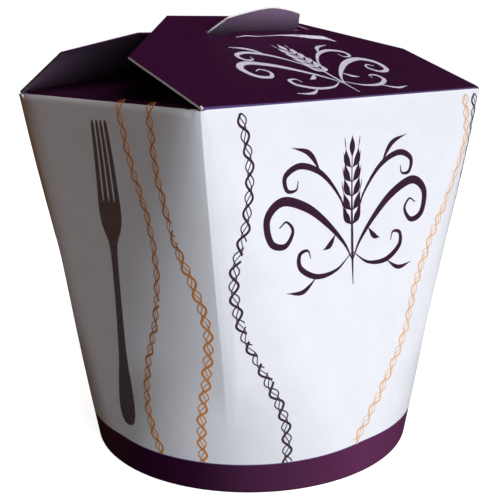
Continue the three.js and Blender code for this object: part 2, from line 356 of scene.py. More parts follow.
def printed_board(settings):
    """Clay-coated bleached board, offset printed and varnished: smooth and faintly cool, with a
    soft sheen, a barely seen fibre and a slight unevenness from handling. The band round its foot
    is printed plum, painted paler towards its right as a painted sheen from the light."""
    material, tree, shader, place = new_material(
        "coated bleached board", {"Specular IOR Level": 0.35, "Roughness": 0.42})
    colours = settings.colours
    paper = mottled(tree, place, 9.0, colours.board, 0.965, 1.0)
    fresh = mottled(tree, place, 0.35, colours.plum, 0.8, 1.15)
    apart = add_node(tree, "ShaderNodeSeparateXYZ", {0: place})
    # painted sheen: the band's plum is painted paler towards the right, the side towards the light
    rubbed = add_node(tree, "ShaderNodeMapRange",
                      {"Value": apart.outputs["X"], "From Min": PAINTED_SHEEN_FROM,
                       "From Max": PAINTED_SHEEN_TO}).outputs[0]
    band = settings.sizes.band_height / MM
    above, at_edge = (add_node(tree, "ShaderNodeMath", {0: apart.outputs["Z"], 1: height},
                               operation="GREATER_THAN").outputs[0]
                      for height in (band, band - VIOLET_EDGE))
    plum = add_node(tree, "ShaderNodeMix",
                    {"Factor": rubbed, "A": fresh, "B": shaded(colours.rubbed, 1)},
                    data_type="RGBA").outputs["Result"]
    printed = add_node(tree, "ShaderNodeMix",
                       {"Factor": at_edge, "A": plum, "B": shaded(colours.violet, 1)},
                       data_type="RGBA").outputs["Result"]
    both = add_node(tree, "ShaderNodeMix", {"Factor": above, "A": printed, "B": paper},
                    data_type="RGBA").outputs["Result"]
    # the board has a neutral sheen and the band a violet one
    sheen = add_node(tree, "ShaderNodeMix",
                     {"Factor": above, "A": (1, 0.4, 0.85, 1), "B": (1, 1, 1, 1)},
                     data_type="RGBA").outputs["Result"]
    tree.links.new(sheen, shader.inputs["Specular Tint"])
    coat(tree, shader, place, both, (14.0, 0.05), (0.5, 0.004))
    return material


def plum_board(settings):
    """The same board under a full tone of plum ink and a gloss varnish: dark, finely grained
    where the ink sits in the fibre, and shiny enough to show soft lights."""
    material, tree, shader, place = new_material(
        "varnished plum print", {"Specular IOR Level": 0.15, "Roughness": 0.5,
                                 "Specular Tint": (1, 0.5, 0.9, 1)})
    grain = mottled(tree, place, 0.35, settings.colours.plum, 0.6, 1.5)
    coat(tree, shader, place, grain, (12.0, 0.06), (0.4, 0.008))
    return material


def plain_board(settings):
    """The uncoated face of the board: matt, warm grey-white, with short fibres."""
    material, tree, shader, place = new_material("uncoated board", {"Roughness": 0.85})
    fibre = mottled(tree, place, 1.2, settings.colours.underside, 0.9, 1.05)
    coat(tree, shader, place, fibre, (0.6, 0.02))
    return material


# painted shade and light on the undersides between two heights, darkest at the tongue's root and
# lightest at its tip: (share of the way up, tone)
PAINTED_SHADE_FROM, PAINTED_SHADE_TO = 103.0, 122.0
PAINTED_SHADE_AND_LIGHT = ((0.32, 0.5), (0.63, 0.3), (0.79, 0.8), (0.97, 1.5))


def painted_bounce_board(settings):
    """The flaps' white undersides, matt, with their fibres showing, coloured with a painted violet
    bounce from the plum print and painted shade. Painted shade darkens them towards the tongue's
    root at the slot, and painted light brightens the tongue towards its tip."""
    material, tree, shader, place = new_material("violet lined board", {"Roughness": 0.7})
    fibre = mottled(tree, place, 0.5, settings.colours.lining, 0.85, 1.15)
    height = add_node(tree, "ShaderNodeSeparateXYZ", {0: place}).outputs["Z"]
    # painted shade and painted light by height, multiplied over the colour
    up = add_node(tree, "ShaderNodeMapRange",
                  {"Value": height, "From Min": PAINTED_SHADE_FROM, "From Max": PAINTED_SHADE_TO}).outputs[0]
    painted_shade = add_node(tree, "ShaderNodeValToRGB", {"Fac": up})
    stops = painted_shade.color_ramp.elements
    stops[0].color = stops[1].color = (1, 1, 1, 1)
    for position, tone in PAINTED_SHADE_AND_LIGHT:
        stops.new(position).color = (tone, tone, tone, 1)
    fibre_with_painted_shade = add_node(tree, "ShaderNodeMix",
                       {"Factor": 1.0, "A": fibre, "B": painted_shade.outputs["Color"]},
                       data_type="RGBA", blend_type="MULTIPLY").outputs["Result"]
    coat(tree, shader, place, fibre_with_painted_shade, (0.5, 0.01))
    return material


def cut_board(settings):
    """The core of the board where it is die cut: white, matt and a little ragged."""
    material, tree, shader, place = new_material("die cut board edge", {"Roughness": 0.9})
    ragged = mottled(tree, place, 0.5, settings.colours.core, 0.86, 1.0)
    coat(tree, shader, place, ragged, (0.25, 0.03))
    return material


def ink(settings, name):
    """Offset ink on the coated board, a little uneven in tone. The word before ink in its name
    is its colour."""
    material, tree, shader, place = new_material(name, {"Roughness": 0.42})
    rgb = getattr(settings.colours, name.split()[-2])
    coat(tree, shader, place, mottled(tree, place, 0.3, rgb, 0.88, 1.1), (0.5, 0.004))
    return material


HATCH_PITCH = 0.55                      # between two rows of dashes
HATCH_LEAN = 0.6
WAVES_PER_UNIT = 20 / math.tau          # of a wave texture at scale 1


def hatched_ink(settings):
    """Plum ink printed as fine slanting dashes that let the board through."""
    material, tree, shader, place = new_material("hatched plum ink", {"Roughness": 0.45})
    turned = add_node(tree, "ShaderNodeMapping",
                      {"Vector": place, "Rotation": (HATCH_LEAN, 0, 0)}).outputs[0]
    dashes = add_node(tree, "ShaderNodeTexWave",
                      {"Vector": turned, "Scale": 1 / (WAVES_PER_UNIT * HATCH_PITCH),
                       "Distortion": 2.5, "Detail": 2.0, "Detail Scale": 3.0},
                      bands_direction="Z")
    ramp = add_node(tree, "ShaderNodeValToRGB", {"Fac": dashes.outputs["Fac"]})
    ramp.color_ramp.elements[0].position, ramp.color_ramp.elements[1].position = 0.62, 0.95
    hatched = add_node(tree, "ShaderNodeMix",
                       {"Factor": ramp.outputs[0], "A": shaded(settings.colours.plum, 1),
                        "B": shaded(settings.colours.board, 0.3)},
                       data_type="RGBA").outputs["Result"]
    coat(tree, shader, place, hatched)
    return material


MATERIAL_MAKERS = {
    "coated bleached board": printed_board,
    "varnished plum print": plum_board,
    "uncoated board": plain_board,
    "violet lined board": painted_bounce_board,
    "die cut board edge": cut_board,
    "hatched plum ink": hatched_ink,
}


def box_material(name):
    """The material of that name, made when it is first asked for."""
    if name in bpy.data.materials:
        return bpy.data.materials[name]
    settings = bpy.context.scene.noodle_box
    if name in MATERIAL_MAKERS:
        return MATERIAL_MAKERS[name](settings)
    return ink(settings, name)


# ---- the pail ----

# How a point of the rolled wall is worked out. Its blank gives each point a height, an inset from
# the outer face, its way along one half of a corner (0 to 1 on the arc, 1 to 2 on the flat stretch
# beside the crease, 2 to 3 across the facet between the score lines) and whether it is on the
# second half, the one beside the front or back wall.
WALL_RULE = (
    ("share", "DIVIDE", "height", "Rim Height"),
    ("above start", "SUBTRACT", "share", FOLD_START),
    ("creased", "DIVIDE", "above start", 1 - FOLD_START),
    ("turned", "MULTIPLY", "creased", "Fold Angle"),
    ("fold", "MAXIMUM", "turned", LEAST_FOLD),
    ("half fold", "MULTIPLY", "fold", 0.5),
    ("cos half fold", "COSINE", "half fold"),
    ("tan half fold", "TANGENT", "half fold"),
    ("sin fold", "SINE", "fold"),
    ("radius change", "SUBTRACT", "Corner Radius", "Base Radius"),
    ("round radius", "MULTIPLY_ADD", "share", "radius change", "Base Radius"),
    ("skin radius", "SUBTRACT", "round radius", "inset"),
    ("crease factor", "MULTIPLY_ADD", "cos half fold", 1 - CREASE_BULGE, CREASE_BULGE),
    ("radius", "MULTIPLY", "skin radius", "crease factor"),
    # the flat stretch beside the crease, up to where the two would meet
    ("reach", "MULTIPLY", "radius", "tan half fold"),
    # towards the rim, the score line beside the side wall takes more of the fold
    ("first part", "MULTIPLY_ADD", "share", SIDE_SCORE_MORE, 0.5),
    ("larger angle", "MULTIPLY", "first part", "fold"),
    ("larger sine", "SINE", "larger angle"),
    ("reach by sine", "MULTIPLY", "reach", "sin fold"),
    ("widest", "DIVIDE", "reach by sine", "larger sine"),
    ("room", "MULTIPLY", "widest", FACET_ROOM),
    ("facet", "MINIMUM", "Crease Width", "room"),
    ("facet by fold", "DIVIDE", "facet", "sin fold"),
    ("on first", "SUBTRACT", 1.0, "second"),
    ("sign", "MULTIPLY_ADD", "second", -2.0, 1.0),
    ("signed part", "MULTIPLY", "first part", "sign"),
    ("own part", "SUBTRACT", "on first", "signed part"),
    ("own angle", "MULTIPLY", "own part", "fold"),
    ("other angle", "SUBTRACT", "fold", "own angle"),
    ("own sine", "SINE", "own angle"),
    ("other sine", "SINE", "other angle"),
    ("own cut", "MULTIPLY", "facet by fold", "own sine"),
    ("other cut", "MULTIPLY", "facet by fold", "other sine"),
    ("own run", "SUBTRACT", "reach", "own cut"),
    ("other run", "SUBTRACT", "reach", "other cut"),
    # the point on its own half, before the facet
    ("arc", "MULTIPLY_ADD", "fold", -0.5, math.pi / 4),
    ("on arc", "MINIMUM", "along", 1.0),
    ("angle", "MULTIPLY", "arc", "on arc"),
    ("cos angle", "COSINE", "angle"),
    ("sin angle", "SINE", "angle"),
    ("past arc", "SUBTRACT", "along", 1.0),
    ("on run at least", "MAXIMUM", "past arc", 0.0),
    ("on run", "MINIMUM", "on run at least", 1.0),
    ("run", "MULTIPLY", "own run", "on run"),
    ("across run", "MULTIPLY", "sin angle", "run"),
    ("own x", "MULTIPLY", "radius", "cos angle"),
    ("point x", "SUBTRACT", "own x", "across run"),
    ("own y", "MULTIPLY", "radius", "sin angle"),
    ("point y", "MULTIPLY_ADD", "cos angle", "run", "own y"),
    # the far edge of the facet, as this half sees it
    ("cos arc", "COSINE", "arc"),
    ("sin arc", "SINE", "arc"),
    ("far out", "MULTIPLY", "radius", "sin arc"),
    ("far x", "MULTIPLY_ADD", "cos arc", "other run", "far out"),
    ("far in", "MULTIPLY", "radius", "cos arc"),
    ("far off", "MULTIPLY", "sin arc", "other run"),
    ("far y", "SUBTRACT", "far in", "far off"),
    ("past run", "SUBTRACT", "along", 2.0),
    ("on facet", "MAXIMUM", "past run", 0.0),
    ("to far x", "SUBTRACT", "far x", "point x"),
    ("to far y", "SUBTRACT", "far y", "point y"),
    ("faceted x", "MULTIPLY_ADD", "to far x", "on facet", "point x"),
    ("faceted y", "MULTIPLY_ADD", "to far y", "on facet", "point y"),
    # the second half is the first mirrored in the corner's diagonal
    ("y over x", "SUBTRACT", "faceted y", "faceted x"),
    ("x over y", "SUBTRACT", "faceted x", "faceted y"),
    ("corner x", "MULTIPLY_ADD", "y over x", "second", "faceted x"),
    ("corner y", "MULTIPLY_ADD", "x over y", "second", "faceted y"),
    # from the corner's centre to the box
    ("half width", "MULTIPLY", "Rim Width", 0.5),
    ("half depth", "MULTIPLY", "Rim Depth", 0.5),
    ("rim centre x", "SUBTRACT", "half width", "Corner Radius"),
    ("rim centre y", "SUBTRACT", "half depth", "Corner Radius"),
    ("centre x", "MULTIPLY", "rim centre x", "share"),
    ("centre y", "MULTIPLY", "rim centre y", "share"),
    ("place x", "MULTIPLY_ADD", "centre x", "flat x", "corner x"),
    ("place y", "MULTIPLY_ADD", "centre y", "flat y", "corner y"),
    ("x", "MULTIPLY", "place x", "side x"),
    ("y", "MULTIPLY", "place y", "side y"),
)
Column = namedtuple("Column", "along second flat_x flat_y side_x side_y")
BLANK_ATTRIBUTES = ("height", "inset", *(name.replace("_", " ") for name in Column._fields))


def wall_tree():
    """The geometry nodes that roll a blank of board into the pail's wall."""
    sizes = {"Rim Width": RIM_WIDTH, "Rim Depth": RIM_DEPTH, "Rim Height": RIM_HEIGHT,
             "Corner Radius": RIM_CORNER_RADIUS, "Base Radius": BASE_RADIUS,
             "Crease Width": CREASE_WIDTH}
    inputs = {name: ("NodeSocketFloat", size * MM) for name, size in sizes.items()}
    inputs["Fold Angle"] = ("NodeSocketFloat", FOLD_ANGLE)
    inputs["Board"] = ("NodeSocketMaterial", None)
    tree, start, end = new_geometry_tree("rolled pail wall", inputs)
    values = {name: start.outputs[name] for name in inputs}
    for name in BLANK_ATTRIBUTES:
        values[name] = add_node(tree, "GeometryNodeInputNamedAttribute", {"Name": name},
                                data_type="FLOAT").outputs["Attribute"]
    work_out(tree, values, WALL_RULE)
    place = add_node(tree, "ShaderNodeCombineXYZ",
                     {"X": values["x"], "Y": values["y"], "Z": values["height"]}).outputs[0]
    rolled = add_node(tree, "GeometryNodeSetPosition",
                      {"Geometry": start.outputs["Geometry"], "Position": place}).outputs[0]
    realized = add_node(tree, "GeometryNodeRealizeInstances", {"Geometry": rolled}).outputs[0]
    covered = add_node(tree, "GeometryNodeSetMaterial",
                       {"Geometry": realized, "Material": start.outputs["Board"]}).outputs[0]
    tree.links.new(covered, end.inputs["Geometry"])
    return tree


# The blank's columns and rows are as close as its bends need: shares along a corner's half, of a
# flat wall's half, and heights in mm.
ARC_STEPS = 14
SCORE_LINE = 2.0           # how far along a corner's half its score line is
RUN_SHARES = [1.25, 1.5, 1.75, 1.9, SCORE_LINE, 2.25]
FACET_MIDDLE = 2.5         # where a corner's two halves meet
FLAT_SHARES = [0.0, 0.2, 0.4, 0.6, 0.8, 0.962, 0.975]


def wall_columns():
    """The blank's columns, anticlockwise from the middle of the right wall."""
    half = [i / ARC_STEPS for i in range(ARC_STEPS + 1)] + RUN_SHARES
    by_side = [(0, 0, 1, f) for f in FLAT_SHARES] + [(a, 0, 1, 1) for a in half]
    by_side.append((FACET_MIDDLE, 0, 1, 1))
    by_front = [(0, 1, f, 1) for f in FLAT_SHARES] + [(a, 1, 1, 1) for a in half]
    columns = []
    for number, (x, y) in enumerate([(1, 1), (-1, 1), (-1, -1), (1, -1)]):
        first, last = (by_side, by_front) if number % 2 == 0 else (by_front, by_side)
        columns += [Column(*c, x, y) for c in first + last[:0:-1]]
    return columns


OUTER_HEIGHTS = [97.0] + [94.0 - 92.2 * i / 44 for i in range(45)] + [1.2]
FOOT = [(0.6, 0.0), (0.33, 0.07), (0.14, 0.22), (0.03, 0.45), (0.0, 0.8), (0.0, 1.15),
        (0.03, 1.5), (0.14, 1.7), (0.33, 1.84), (0.6, 1.9)]   # height, inset of the seam's turn
RING = [(3.0, 1.9), (6.9, 1.9), (7.25, 1.8), (7.4, 1.5), (7.4, 0.9), (7.6, 0.5)]
INNER_HEIGHTS = [12.0 + 5.3 * i for i in range(17)]
FOOT_ROW = 1 + len(OUTER_HEIGHTS)
BARE_ROW = FOOT_ROW + len(FOOT) + 2     # the first row of the unprinted face


def eased(share):
    """A share held between 0 and 1, and made to start and end gently."""
    share = min(1.0, max(0.0, share))
    return share * share * (3 - 2 * share)


def faded(place, start, full, falling, end):
    """1 from full to falling, easing from 0 at start and to 0 at end."""
    return eased((place - start) / (full - start)) * eased((end - place) / (end - falling))


def wall_blank(columns):
    """A closed blank of board, one ring of points for each row, still lying flat."""
    def top(column):
        if column.along == 0 and column.second == 1:
            return FLAP_START
        has_flap = column.along == 0 and column.flat_y < SIDE_FLAP_SHARE
        return SIDE_FLAP_START if has_flap else CORNER_TOP

    def rows(column):
        scored = column.second == 1 and column.along == SCORE_LINE
        yield top(column), 0.0
        for z in OUTER_HEIGHTS:
            yield z, SCORE_DEPTH * faded(z, *SCORE_FADES) if scored else 0.0
        yield from FOOT
        yield from RING
        for z in INNER_HEIGHTS:
            yield z, BOARD
        yield top(column), BOARD

    table = np.array([[(z * MM, inset * MM) for z, inset in rows(column)]
                      for column in columns]).transpose(1, 0, 2)
    row_count, column_count = table.shape[:2]
    mesh = bpy.data.meshes.new("pail_blank")
    flat_places = [(c * MM, -r * MM, 0) for r in range(row_count) for c in range(column_count)]
    mesh.from_pydata(flat_places, [], rings_joined(row_count, column_count, closed=True))
    spread = np.broadcast_to(np.array(columns, float),
                             (row_count, column_count, len(Column._fields)))
    values = np.concatenate([table, spread], axis=2).reshape(-1, len(BLANK_ATTRIBUTES))
    for name, column in zip(BLANK_ATTRIBUTES, values.T):
        attribute = mesh.attributes.new(name, "FLOAT", "POINT")
        attribute.data.foreach_set("value", np.ascontiguousarray(column, np.float32))
    return mesh, row_count


def beside_creases(places, columns):
    """How far each point of the wall is from the nearest crease in mm, measured level."""
    level = places[:, :, :2]
    steps = np.linalg.norm(np.diff(level, axis=1, append=level[:, :1]), axis=2)
    ends = np.cumsum(steps, axis=1)
    starts, around = ends - steps, ends[:, -1:]
    creases = [i for i, column in enumerate(columns) if column[:2] == (SCORE_LINE, 0)]
    gaps = np.stack([np.abs(starts - starts[:, i:i + 1]) for i in creases])
    return np.minimum(gaps, around - gaps).min(axis=0)


# How a side wall, and a front or back wall, curves into a crease: the turn in degrees at the rim
# and CURVE_CHANGE below it, and the distance in mm over which it does so at the rim, with what
# that grows by for each mm down.
SIDE_CURVE = (42, 34, 16, 0.66)
FRONT_CURVE = (12, 34, 5, 0.25)
CURVE_TOP, CURVE_CHANGE = 96.0, 20.0
CURVE_POWER = 2.2
CURVE_FOOT, CURVE_FULL = 24.0, 38.0     # heights between which the curve sets in
SIDE_CURVE_LAST, FRONT_CURVE_LAST = SCORE_LINE, 1.75    # how far along a corner's half it goes


def curve_towards(curve, far, z):
    """The angle at a distance from a crease and a height."""
    turn, low_turn, reach, growth = curve
    below_rim = np.clip(CURVE_TOP - z, 0, None)
    most = np.radians(turn + (low_turn - turn) * np.clip(below_rim / CURVE_CHANGE, 0, 1))
    return most * np.clip(1 - far / (reach + growth * below_rim), 0, 1) ** CURVE_POWER


def from_side_crease(distance, y):
    """A side wall's distance from a crease. It counts double behind the wall's middle, where the
    board curves over half the way."""
    return distance * np.where(y > 0, 2, 1)


def face_corners(mesh):
    """The face, the vertex's number, its place in mm and the normal of each face corner."""
    count = len(mesh.loops)
    vertex = np.empty(count, np.int32)
    mesh.loops.foreach_get("vertex_index", vertex)
    sizes = [face.loop_total for face in mesh.polygons]
    normals = np.empty(count * 3, np.float32)
    mesh.corner_normals.foreach_get("vector", normals)
    places = np.array([v.co for v in mesh.vertices])[vertex] / MM
    return np.repeat(np.arange(len(sizes)), sizes), vertex, places, normals.reshape(-1, 3)


def turn_normals(normals, chosen, places, angles, ahead):
    """Sets how far the chosen normals turn from straight ahead, along axis number ahead, towards
    their end of the wall."""
    level = np.linalg.norm(normals[:, :2], axis=1)
    aside = 1 - ahead
    normals[chosen, ahead] = (np.cos(angles) * level * np.sign(normals[:, ahead]))[chosen]
    normals[chosen, aside] = (np.sin(angles) * level * np.sign(places[:, aside]))[chosen]


def set_normals(mesh, normals, chosen):
    normals[~chosen] = 0        # which leaves the others as they are
    mesh.normals_split_custom_set(normals)


def curve_wall(mesh, columns):
    """Turns the normals of the wall's outer face towards the nearer crease, so that the board
    curves gently into it."""
    faces, vertex, places, normals = face_corners(mesh)
    nearest = beside_creases(WALLS["pail"].places, columns).ravel()[vertex]
    set_in = np.clip((places[:, 2] - CURVE_FOOT) / (CURVE_FULL - CURVE_FOOT), 0, 1)
    touched = np.zeros(len(faces), bool)
    for second, last, curve, far in (
            (0, SIDE_CURVE_LAST, SIDE_CURVE, from_side_crease(nearest, places[:, 1])),
            (1, FRONT_CURVE_LAST, FRONT_CURVE, nearest)):
        own = np.array([column.second == second and column.along <= last for column in columns])
        both = own & np.roll(own, -1)
        chosen = both[faces % len(columns)] & (faces // len(columns) < FOOT_ROW)
        flat = np.arctan2(np.abs(normals[:, 1 - second]), np.abs(normals[:, second]))
        curved = curve_towards(curve, far, places[:, 2])
        turn_normals(normals, chosen, places, flat + (curved - flat) * set_in, second)
        touched |= chosen
    set_normals(mesh, normals, touched)


class Wall:
    """The finished wall's outer face, to place flaps and printing on it."""

    def __init__(self, mesh, columns):
        self.places = np.array([v.co for v in mesh.vertices]).reshape(-1, len(columns), 3) / MM
        self.rows = self.places[1:FOOT_ROW + 1]
        middles = {"front": ("flat_x", "side_y", -1), "right": ("flat_y", "side_x", 1),
                   "back": ("flat_x", "side_y", 1), "left": ("flat_y", "side_x", -1)}
        self.middles = {wall: next(i for i, c in enumerate(columns) if c.along == 0
                                   and getattr(c, flat) == 0 and getattr(c, side) == sign)
                        for wall, (flat, side, sign) in middles.items()}

    def section(self, z):
        """The outer face's outline at a height, as points."""
        heights = self.rows[:, 0, 2]
        i = int(np.clip(np.searchsorted(-heights, -z) - 1, 0, len(heights) - 2))
        high, low = self.rows[i], self.rows[i + 1]
        share = (z - low[0, 2]) / (high[0, 2] - low[0, 2])
        return low + (high - low) * share

    def out(self, wall, z):
        """How far the middle of a wall is from the axis at a height."""
        return float(np.linalg.norm(self.section(z)[self.middles[wall], :2]))

    def point(self, wall, s, z):
        """The point at a distance s to the right of the wall's middle, round the outer face."""
        outline = np.roll(self.section(z), -self.middles[wall], axis=0)
        if s < 0:
            outline = np.roll(outline[::-1], 1, axis=0)
        steps = np.linalg.norm(np.diff(outline, axis=0), axis=1)
        far = np.concatenate([[0], np.cumsum(steps)])
        return np.array([np.interp(abs(s), far, outline[:, axis]) for axis in range(3)])


WALLS = {}          # the finished wall, which the later operators measure


class NOODLEBOX_OT_pail_wall(bpy.types.Operator):
    """Roll the wall of the pail, with its corner creases and the turned-in seam at its base"""
    bl_idname = "noodle_box.pail_wall"
    bl_label = "Pail Wall"

    def execute(self, context):
        sizes = context.scene.noodle_box.sizes
        columns = wall_columns()
        blank, row_count = wall_blank(columns)
        blank_object = new_object("pail_blank", blank)
        mesh = shape_with(blank_object, wall_tree(), {
            "Fold Angle": sizes.fold_angle, "Crease Width": sizes.crease_width,
            "Board": box_material("coated bleached board")})
        discard(blank_object)
        WALLS["pail"] = Wall(mesh, columns)
        for name in BLANK_ATTRIBUTES:
            mesh.attributes.remove(mesh.attributes[name])
        for name in ("uncoated board", "die cut board edge"):
            mesh.materials.append(box_material(name))
        for face in mesh.polygons:
            row = face.index // len(columns)
            if row == row_count - 1:
                face.material_index = 2     # the cut edge that joins the two faces at the top
            elif row >= BARE_ROW:
                face.material_index = 1
        finish_piece("pail_wall", mesh, "printed_board", ["carton_body"], WALL_SMOOTH_BELOW)
        curve_wall(mesh, columns)
        return {"FINISHED"}


PANEL_RINGS = [0.04, 0.3, 0.55, 0.75, 0.9, 0.97, 1.0]     # shares of the base panel's radius
PANEL_GAP = 0.1            # between the panel and the seam


class NOODLEBOX_OT_base_panel(bpy.types.Operator):
    """Cut the base panel that is held up inside the seam"""
    bl_idname = "noodle_box.base_panel"
    bl_label = "Base Panel"

    def execute(self, context):
        top = RECESS_DEPTH - SLIT_WIDTH
        outline = WALLS["pail"].section(top - BOARD)[:, :2]
        radius = np.linalg.norm(outline, axis=1, keepdims=True)
        rim = outline * (radius - RING_WIDTH - PANEL_GAP) / radius
        count = len(rim)
        rings = [(share, top) for share in PANEL_RINGS]
        rings += [(share, top - BOARD) for share in PANEL_RINGS[::-1]]
        places = [(x * share, y * share, z) for share, z in rings for x, y in rim]
        faces = rings_joined(len(rings), count)
        faces += [tuple(range(count)), tuple(range(len(places) - count, len(places)))[::-1]]
        mesh = bpy.data.meshes.new("base_panel")
        mesh.from_pydata([Vector(p) * MM for p in places], [], faces)
        mesh.materials.append(box_material("uncoated board"))
        finish_piece("base_panel", mesh, "plain_board", ["base_disc"])
        return {"FINISHED"}


# ---- flaps ----

def rounded_path(points, radii):
    """A line bent at points, with each inner corner rounded to a radius. Returns a function from
    the distance along the unrounded line to the place there, the distance at each point, and the
    distances at which each bend starts and ends."""
    points = [np.array(p, float) for p in points]
    runs = [b - a for a, b in zip(points, points[1:])]
    lengths = [float(np.linalg.norm(r)) for r in runs]
    directions = [r / n for r, n in zip(runs, lengths)]
    stations = [0.0]
    for n in lengths:
        stations.append(stations[-1] + n)

    def turned(v, angle):
        c, s = math.cos(angle), math.sin(angle)
        return np.array([c * v[0] - s * v[1], s * v[0] + c * v[1]])

    bends = []
    for before, after, corner, station, radius in zip(
            directions, directions[1:], points[1:], stations[1:], radii):
        turn = math.atan2(before[0] * after[1] - before[1] * after[0], before @ after)
        bends.append((station, radius * math.tan(abs(turn) / 2), turn, radius, corner, before))

    def at(q):
        for station, half, turn, radius, corner, before in bends:
            if abs(q - station) < half:
                share = (q - station + half) / (2 * half)
                side = turned(before, math.copysign(math.pi / 2, turn))
                centre = corner - before * half + side * radius
                return centre - turned(side, turn * share) * radius
        i = min(max(int(np.searchsorted(stations, q)) - 1, 0), len(directions) - 1)
        return points[i] + directions[i] * (q - stations[i])

    return at, stations, [(station - half, station + half) for station, half, *_ in bends]


def inside(point, loops):
    """Whether a point is within the outlines, holes left out."""
    x, y = point
    odd = False
    for loop in loops:
        for (ax, ay), (bx, by) in zip(loop, loop[1:] + loop[:1]):
            if (ay > y) != (by > y) and x < ax + (y - ay) * (bx - ax) / (by - ay):
                odd = not odd
    return odd


OUTLINE_GAP = 0.02         # least distance between two points of an outline
BORDER_GAP = 0.12          # between the points inside a sheet and its outline
SAME_POINT = 1e-5
LEVEL = 1e-6               # a run of an outline that rises less than this crosses no row
END_SHARE = 0.001          # of a run, at each of its ends, where a row adds no point


def split_loop(loop, rows, step):
    """The outline with points added wherever a row crosses it, and at least every step."""
    result = []
    for a, b in zip(loop, loop[1:] + loop[:1]):
        a, b = np.array(a, float), np.array(b, float)
        shares = {0.0}
        if abs(b[1] - a[1]) > LEVEL:
            crossings = ((row - a[1]) / (b[1] - a[1]) for row in rows)
            shares |= {s for s in crossings if END_SHARE < s < 1 - END_SHARE}
        pieces = max(1, math.ceil(float(np.linalg.norm(b - a)) / step))
        shares |= {i / pieces for i in range(pieces)}
        kept = []
        for s in sorted(shares):
            if not kept or (s - kept[-1]) * np.linalg.norm(b - a) > OUTLINE_GAP:
                kept.append(s)
        result += [tuple(a + (b - a) * s) for s in kept]
    return result


def triangulated(loops, rows, step, extra=()):
    """Points and triangles that fill the outlines, in rows so that the sheet can be bent."""
    loops = [split_loop(loop, rows, step) for loop in loops]
    border = np.array([p for loop in loops for p in loop])
    points, edges = [], []
    for loop in loops:
        first = len(points)
        points += loop
        edges += [(first + i, first + (i + 1) % len(loop)) for i in range(len(loop))]
    low, high = border.min(axis=0), border.max(axis=0)
    count = max(2, math.ceil((high[0] - low[0]) / step))
    grid = [(low[0] + (high[0] - low[0]) * i / count, r) for r in rows for i in range(count + 1)]
    for p in list(extra) + grid:
        clear = np.abs(border - p).max(axis=1).min() > BORDER_GAP
        if clear and inside(p, loops):
            points.append(tuple(p))
    places, _, triangles, *_ = delaunay_2d_cdt(
        [Vector(p) for p in points], edges, [], 0, SAME_POINT)
    kept = []
    for triangle in triangles:
        a, b, c = (places[i] for i in triangle)
        if inside(((a.x + b.x + c.x) / 3, (a.y + b.y + c.y) / 3), loops):
            area = (b - a).cross(c - a)
            kept.append(tuple(triangle) if area > 0 else tuple(triangle)[::-1])
    return [(p.x, p.y) for p in places], kept


BOARD_FACES = ("varnished plum print", "coated bleached board", "violet lined board",
               "die cut board edge")
PRINTED, UNPRINTED, PAINTED_BOUNCE, CUT = range(len(BOARD_FACES))
ROW_GAP = 0.05             # least distance between the rows and the start of the print
NUDGE = 0.01               # to each side of a point, to find the sheet's normal there


def board_sheet(name, loops, rows, surface, step=2.5, printed_from=0.0, extra=()):
    """A die-cut sheet of board of its real thickness. surface gives the place of its printed face
    in mm for each (across, along), and the print starts at a distance along it."""
    rows = sorted([r for r in rows if abs(r - printed_from) > ROW_GAP] + [printed_from])
    flat, triangles = triangulated(loops, rows, step, extra)
    used = sorted({i for t in triangles for i in t})
    index = {old: new for new, old in enumerate(used)}
    triangles = [tuple(index[i] for i in t) for t in triangles]
    flat = [flat[i] for i in used]
    top, low = [], []
    for u, q in flat:
        place = surface(u, q)
        across = surface(u + NUDGE, q) - surface(u - NUDGE, q)
        along = surface(u, q + NUDGE) - surface(u, q - NUDGE)
        normal = np.cross(across, along)
        top.append(place)
        low.append(place - normal / np.linalg.norm(normal) * BOARD)
    count = len(flat)
    edges = dict.fromkeys(edge for a, b, c in triangles for edge in ((a, b), (b, c), (c, a)))
    border = [edge for edge in edges if edge[::-1] not in edges]
    faces = triangles + [(c + count, b + count, a + count) for a, b, c in triangles]
    faces += [(b, a, a + count, b + count) for a, b in border]
    mesh = bpy.data.meshes.new(name)
    mesh.from_pydata([Vector(p) * MM for p in top + low], [], faces)
    for material in BOARD_FACES:
        mesh.materials.append(box_material(material))
    numbers = [PRINTED if sum(flat[i][1] for i in t) / 3 > printed_from else UNPRINTED
               for t in triangles]
    numbers += [PAINTED_BOUNCE] * len(triangles) + [CUT] * len(border)
    mesh.polygons.foreach_set("material_index", numbers)
    return mesh


def ink_over(mesh, number, where):
    """Finishes the cut edges whose place in mm passes a test as another of the board's faces."""
    for face in mesh.polygons:
        if face.material_index == CUT and where(face.center / MM):
            face.material_index = number


def turned_into_place(mesh, quarter_turns):
    mesh.transform(Matrix.Rotation(quarter_turns * math.pi / 2, 4, "Z"))
    return mesh


ROWS_PER_BEND = 8
BEND_ROOM = 0.5            # least distance between a bend and the rows beside it


def rows_along(length, bends, spacing):
    """Distances along a sheet at which it has points: evenly spaced, and close in its bends."""
    rows = {0.0, length}
    for low, high in bends:
        rows |= {low + (high - low) * i / ROWS_PER_BEND for i in range(ROWS_PER_BEND + 1)}
    rows |= {spacing * i for i in range(1, int(length / spacing) + 1)
             if all(not low - BEND_ROOM < spacing * i < high + BEND_ROOM for low, high in bends)}
    return sorted(rows)


def start_of_print(bend, share=PRINT_START):
    """Distance at which a flap's print starts: a share of the way round its first fold."""
    low, high = bend
    return low + share * (high - low)


def flap_start(wall, half, slope, start=FLAP_START):
    """Where a flap's board leaves the wall, and where its crease would be if it were sharp."""
    pail = WALLS["pail"]
    reach = pail.out(wall, RIM_HEIGHT)
    return [(-pail.out(wall, start), start),
            (-reach, RIM_HEIGHT + (half - reach) * math.tan(slope))]


def on_slope(half, distance, slope):
    return (-half + distance * math.cos(slope), RIM_HEIGHT + distance * math.sin(slope))


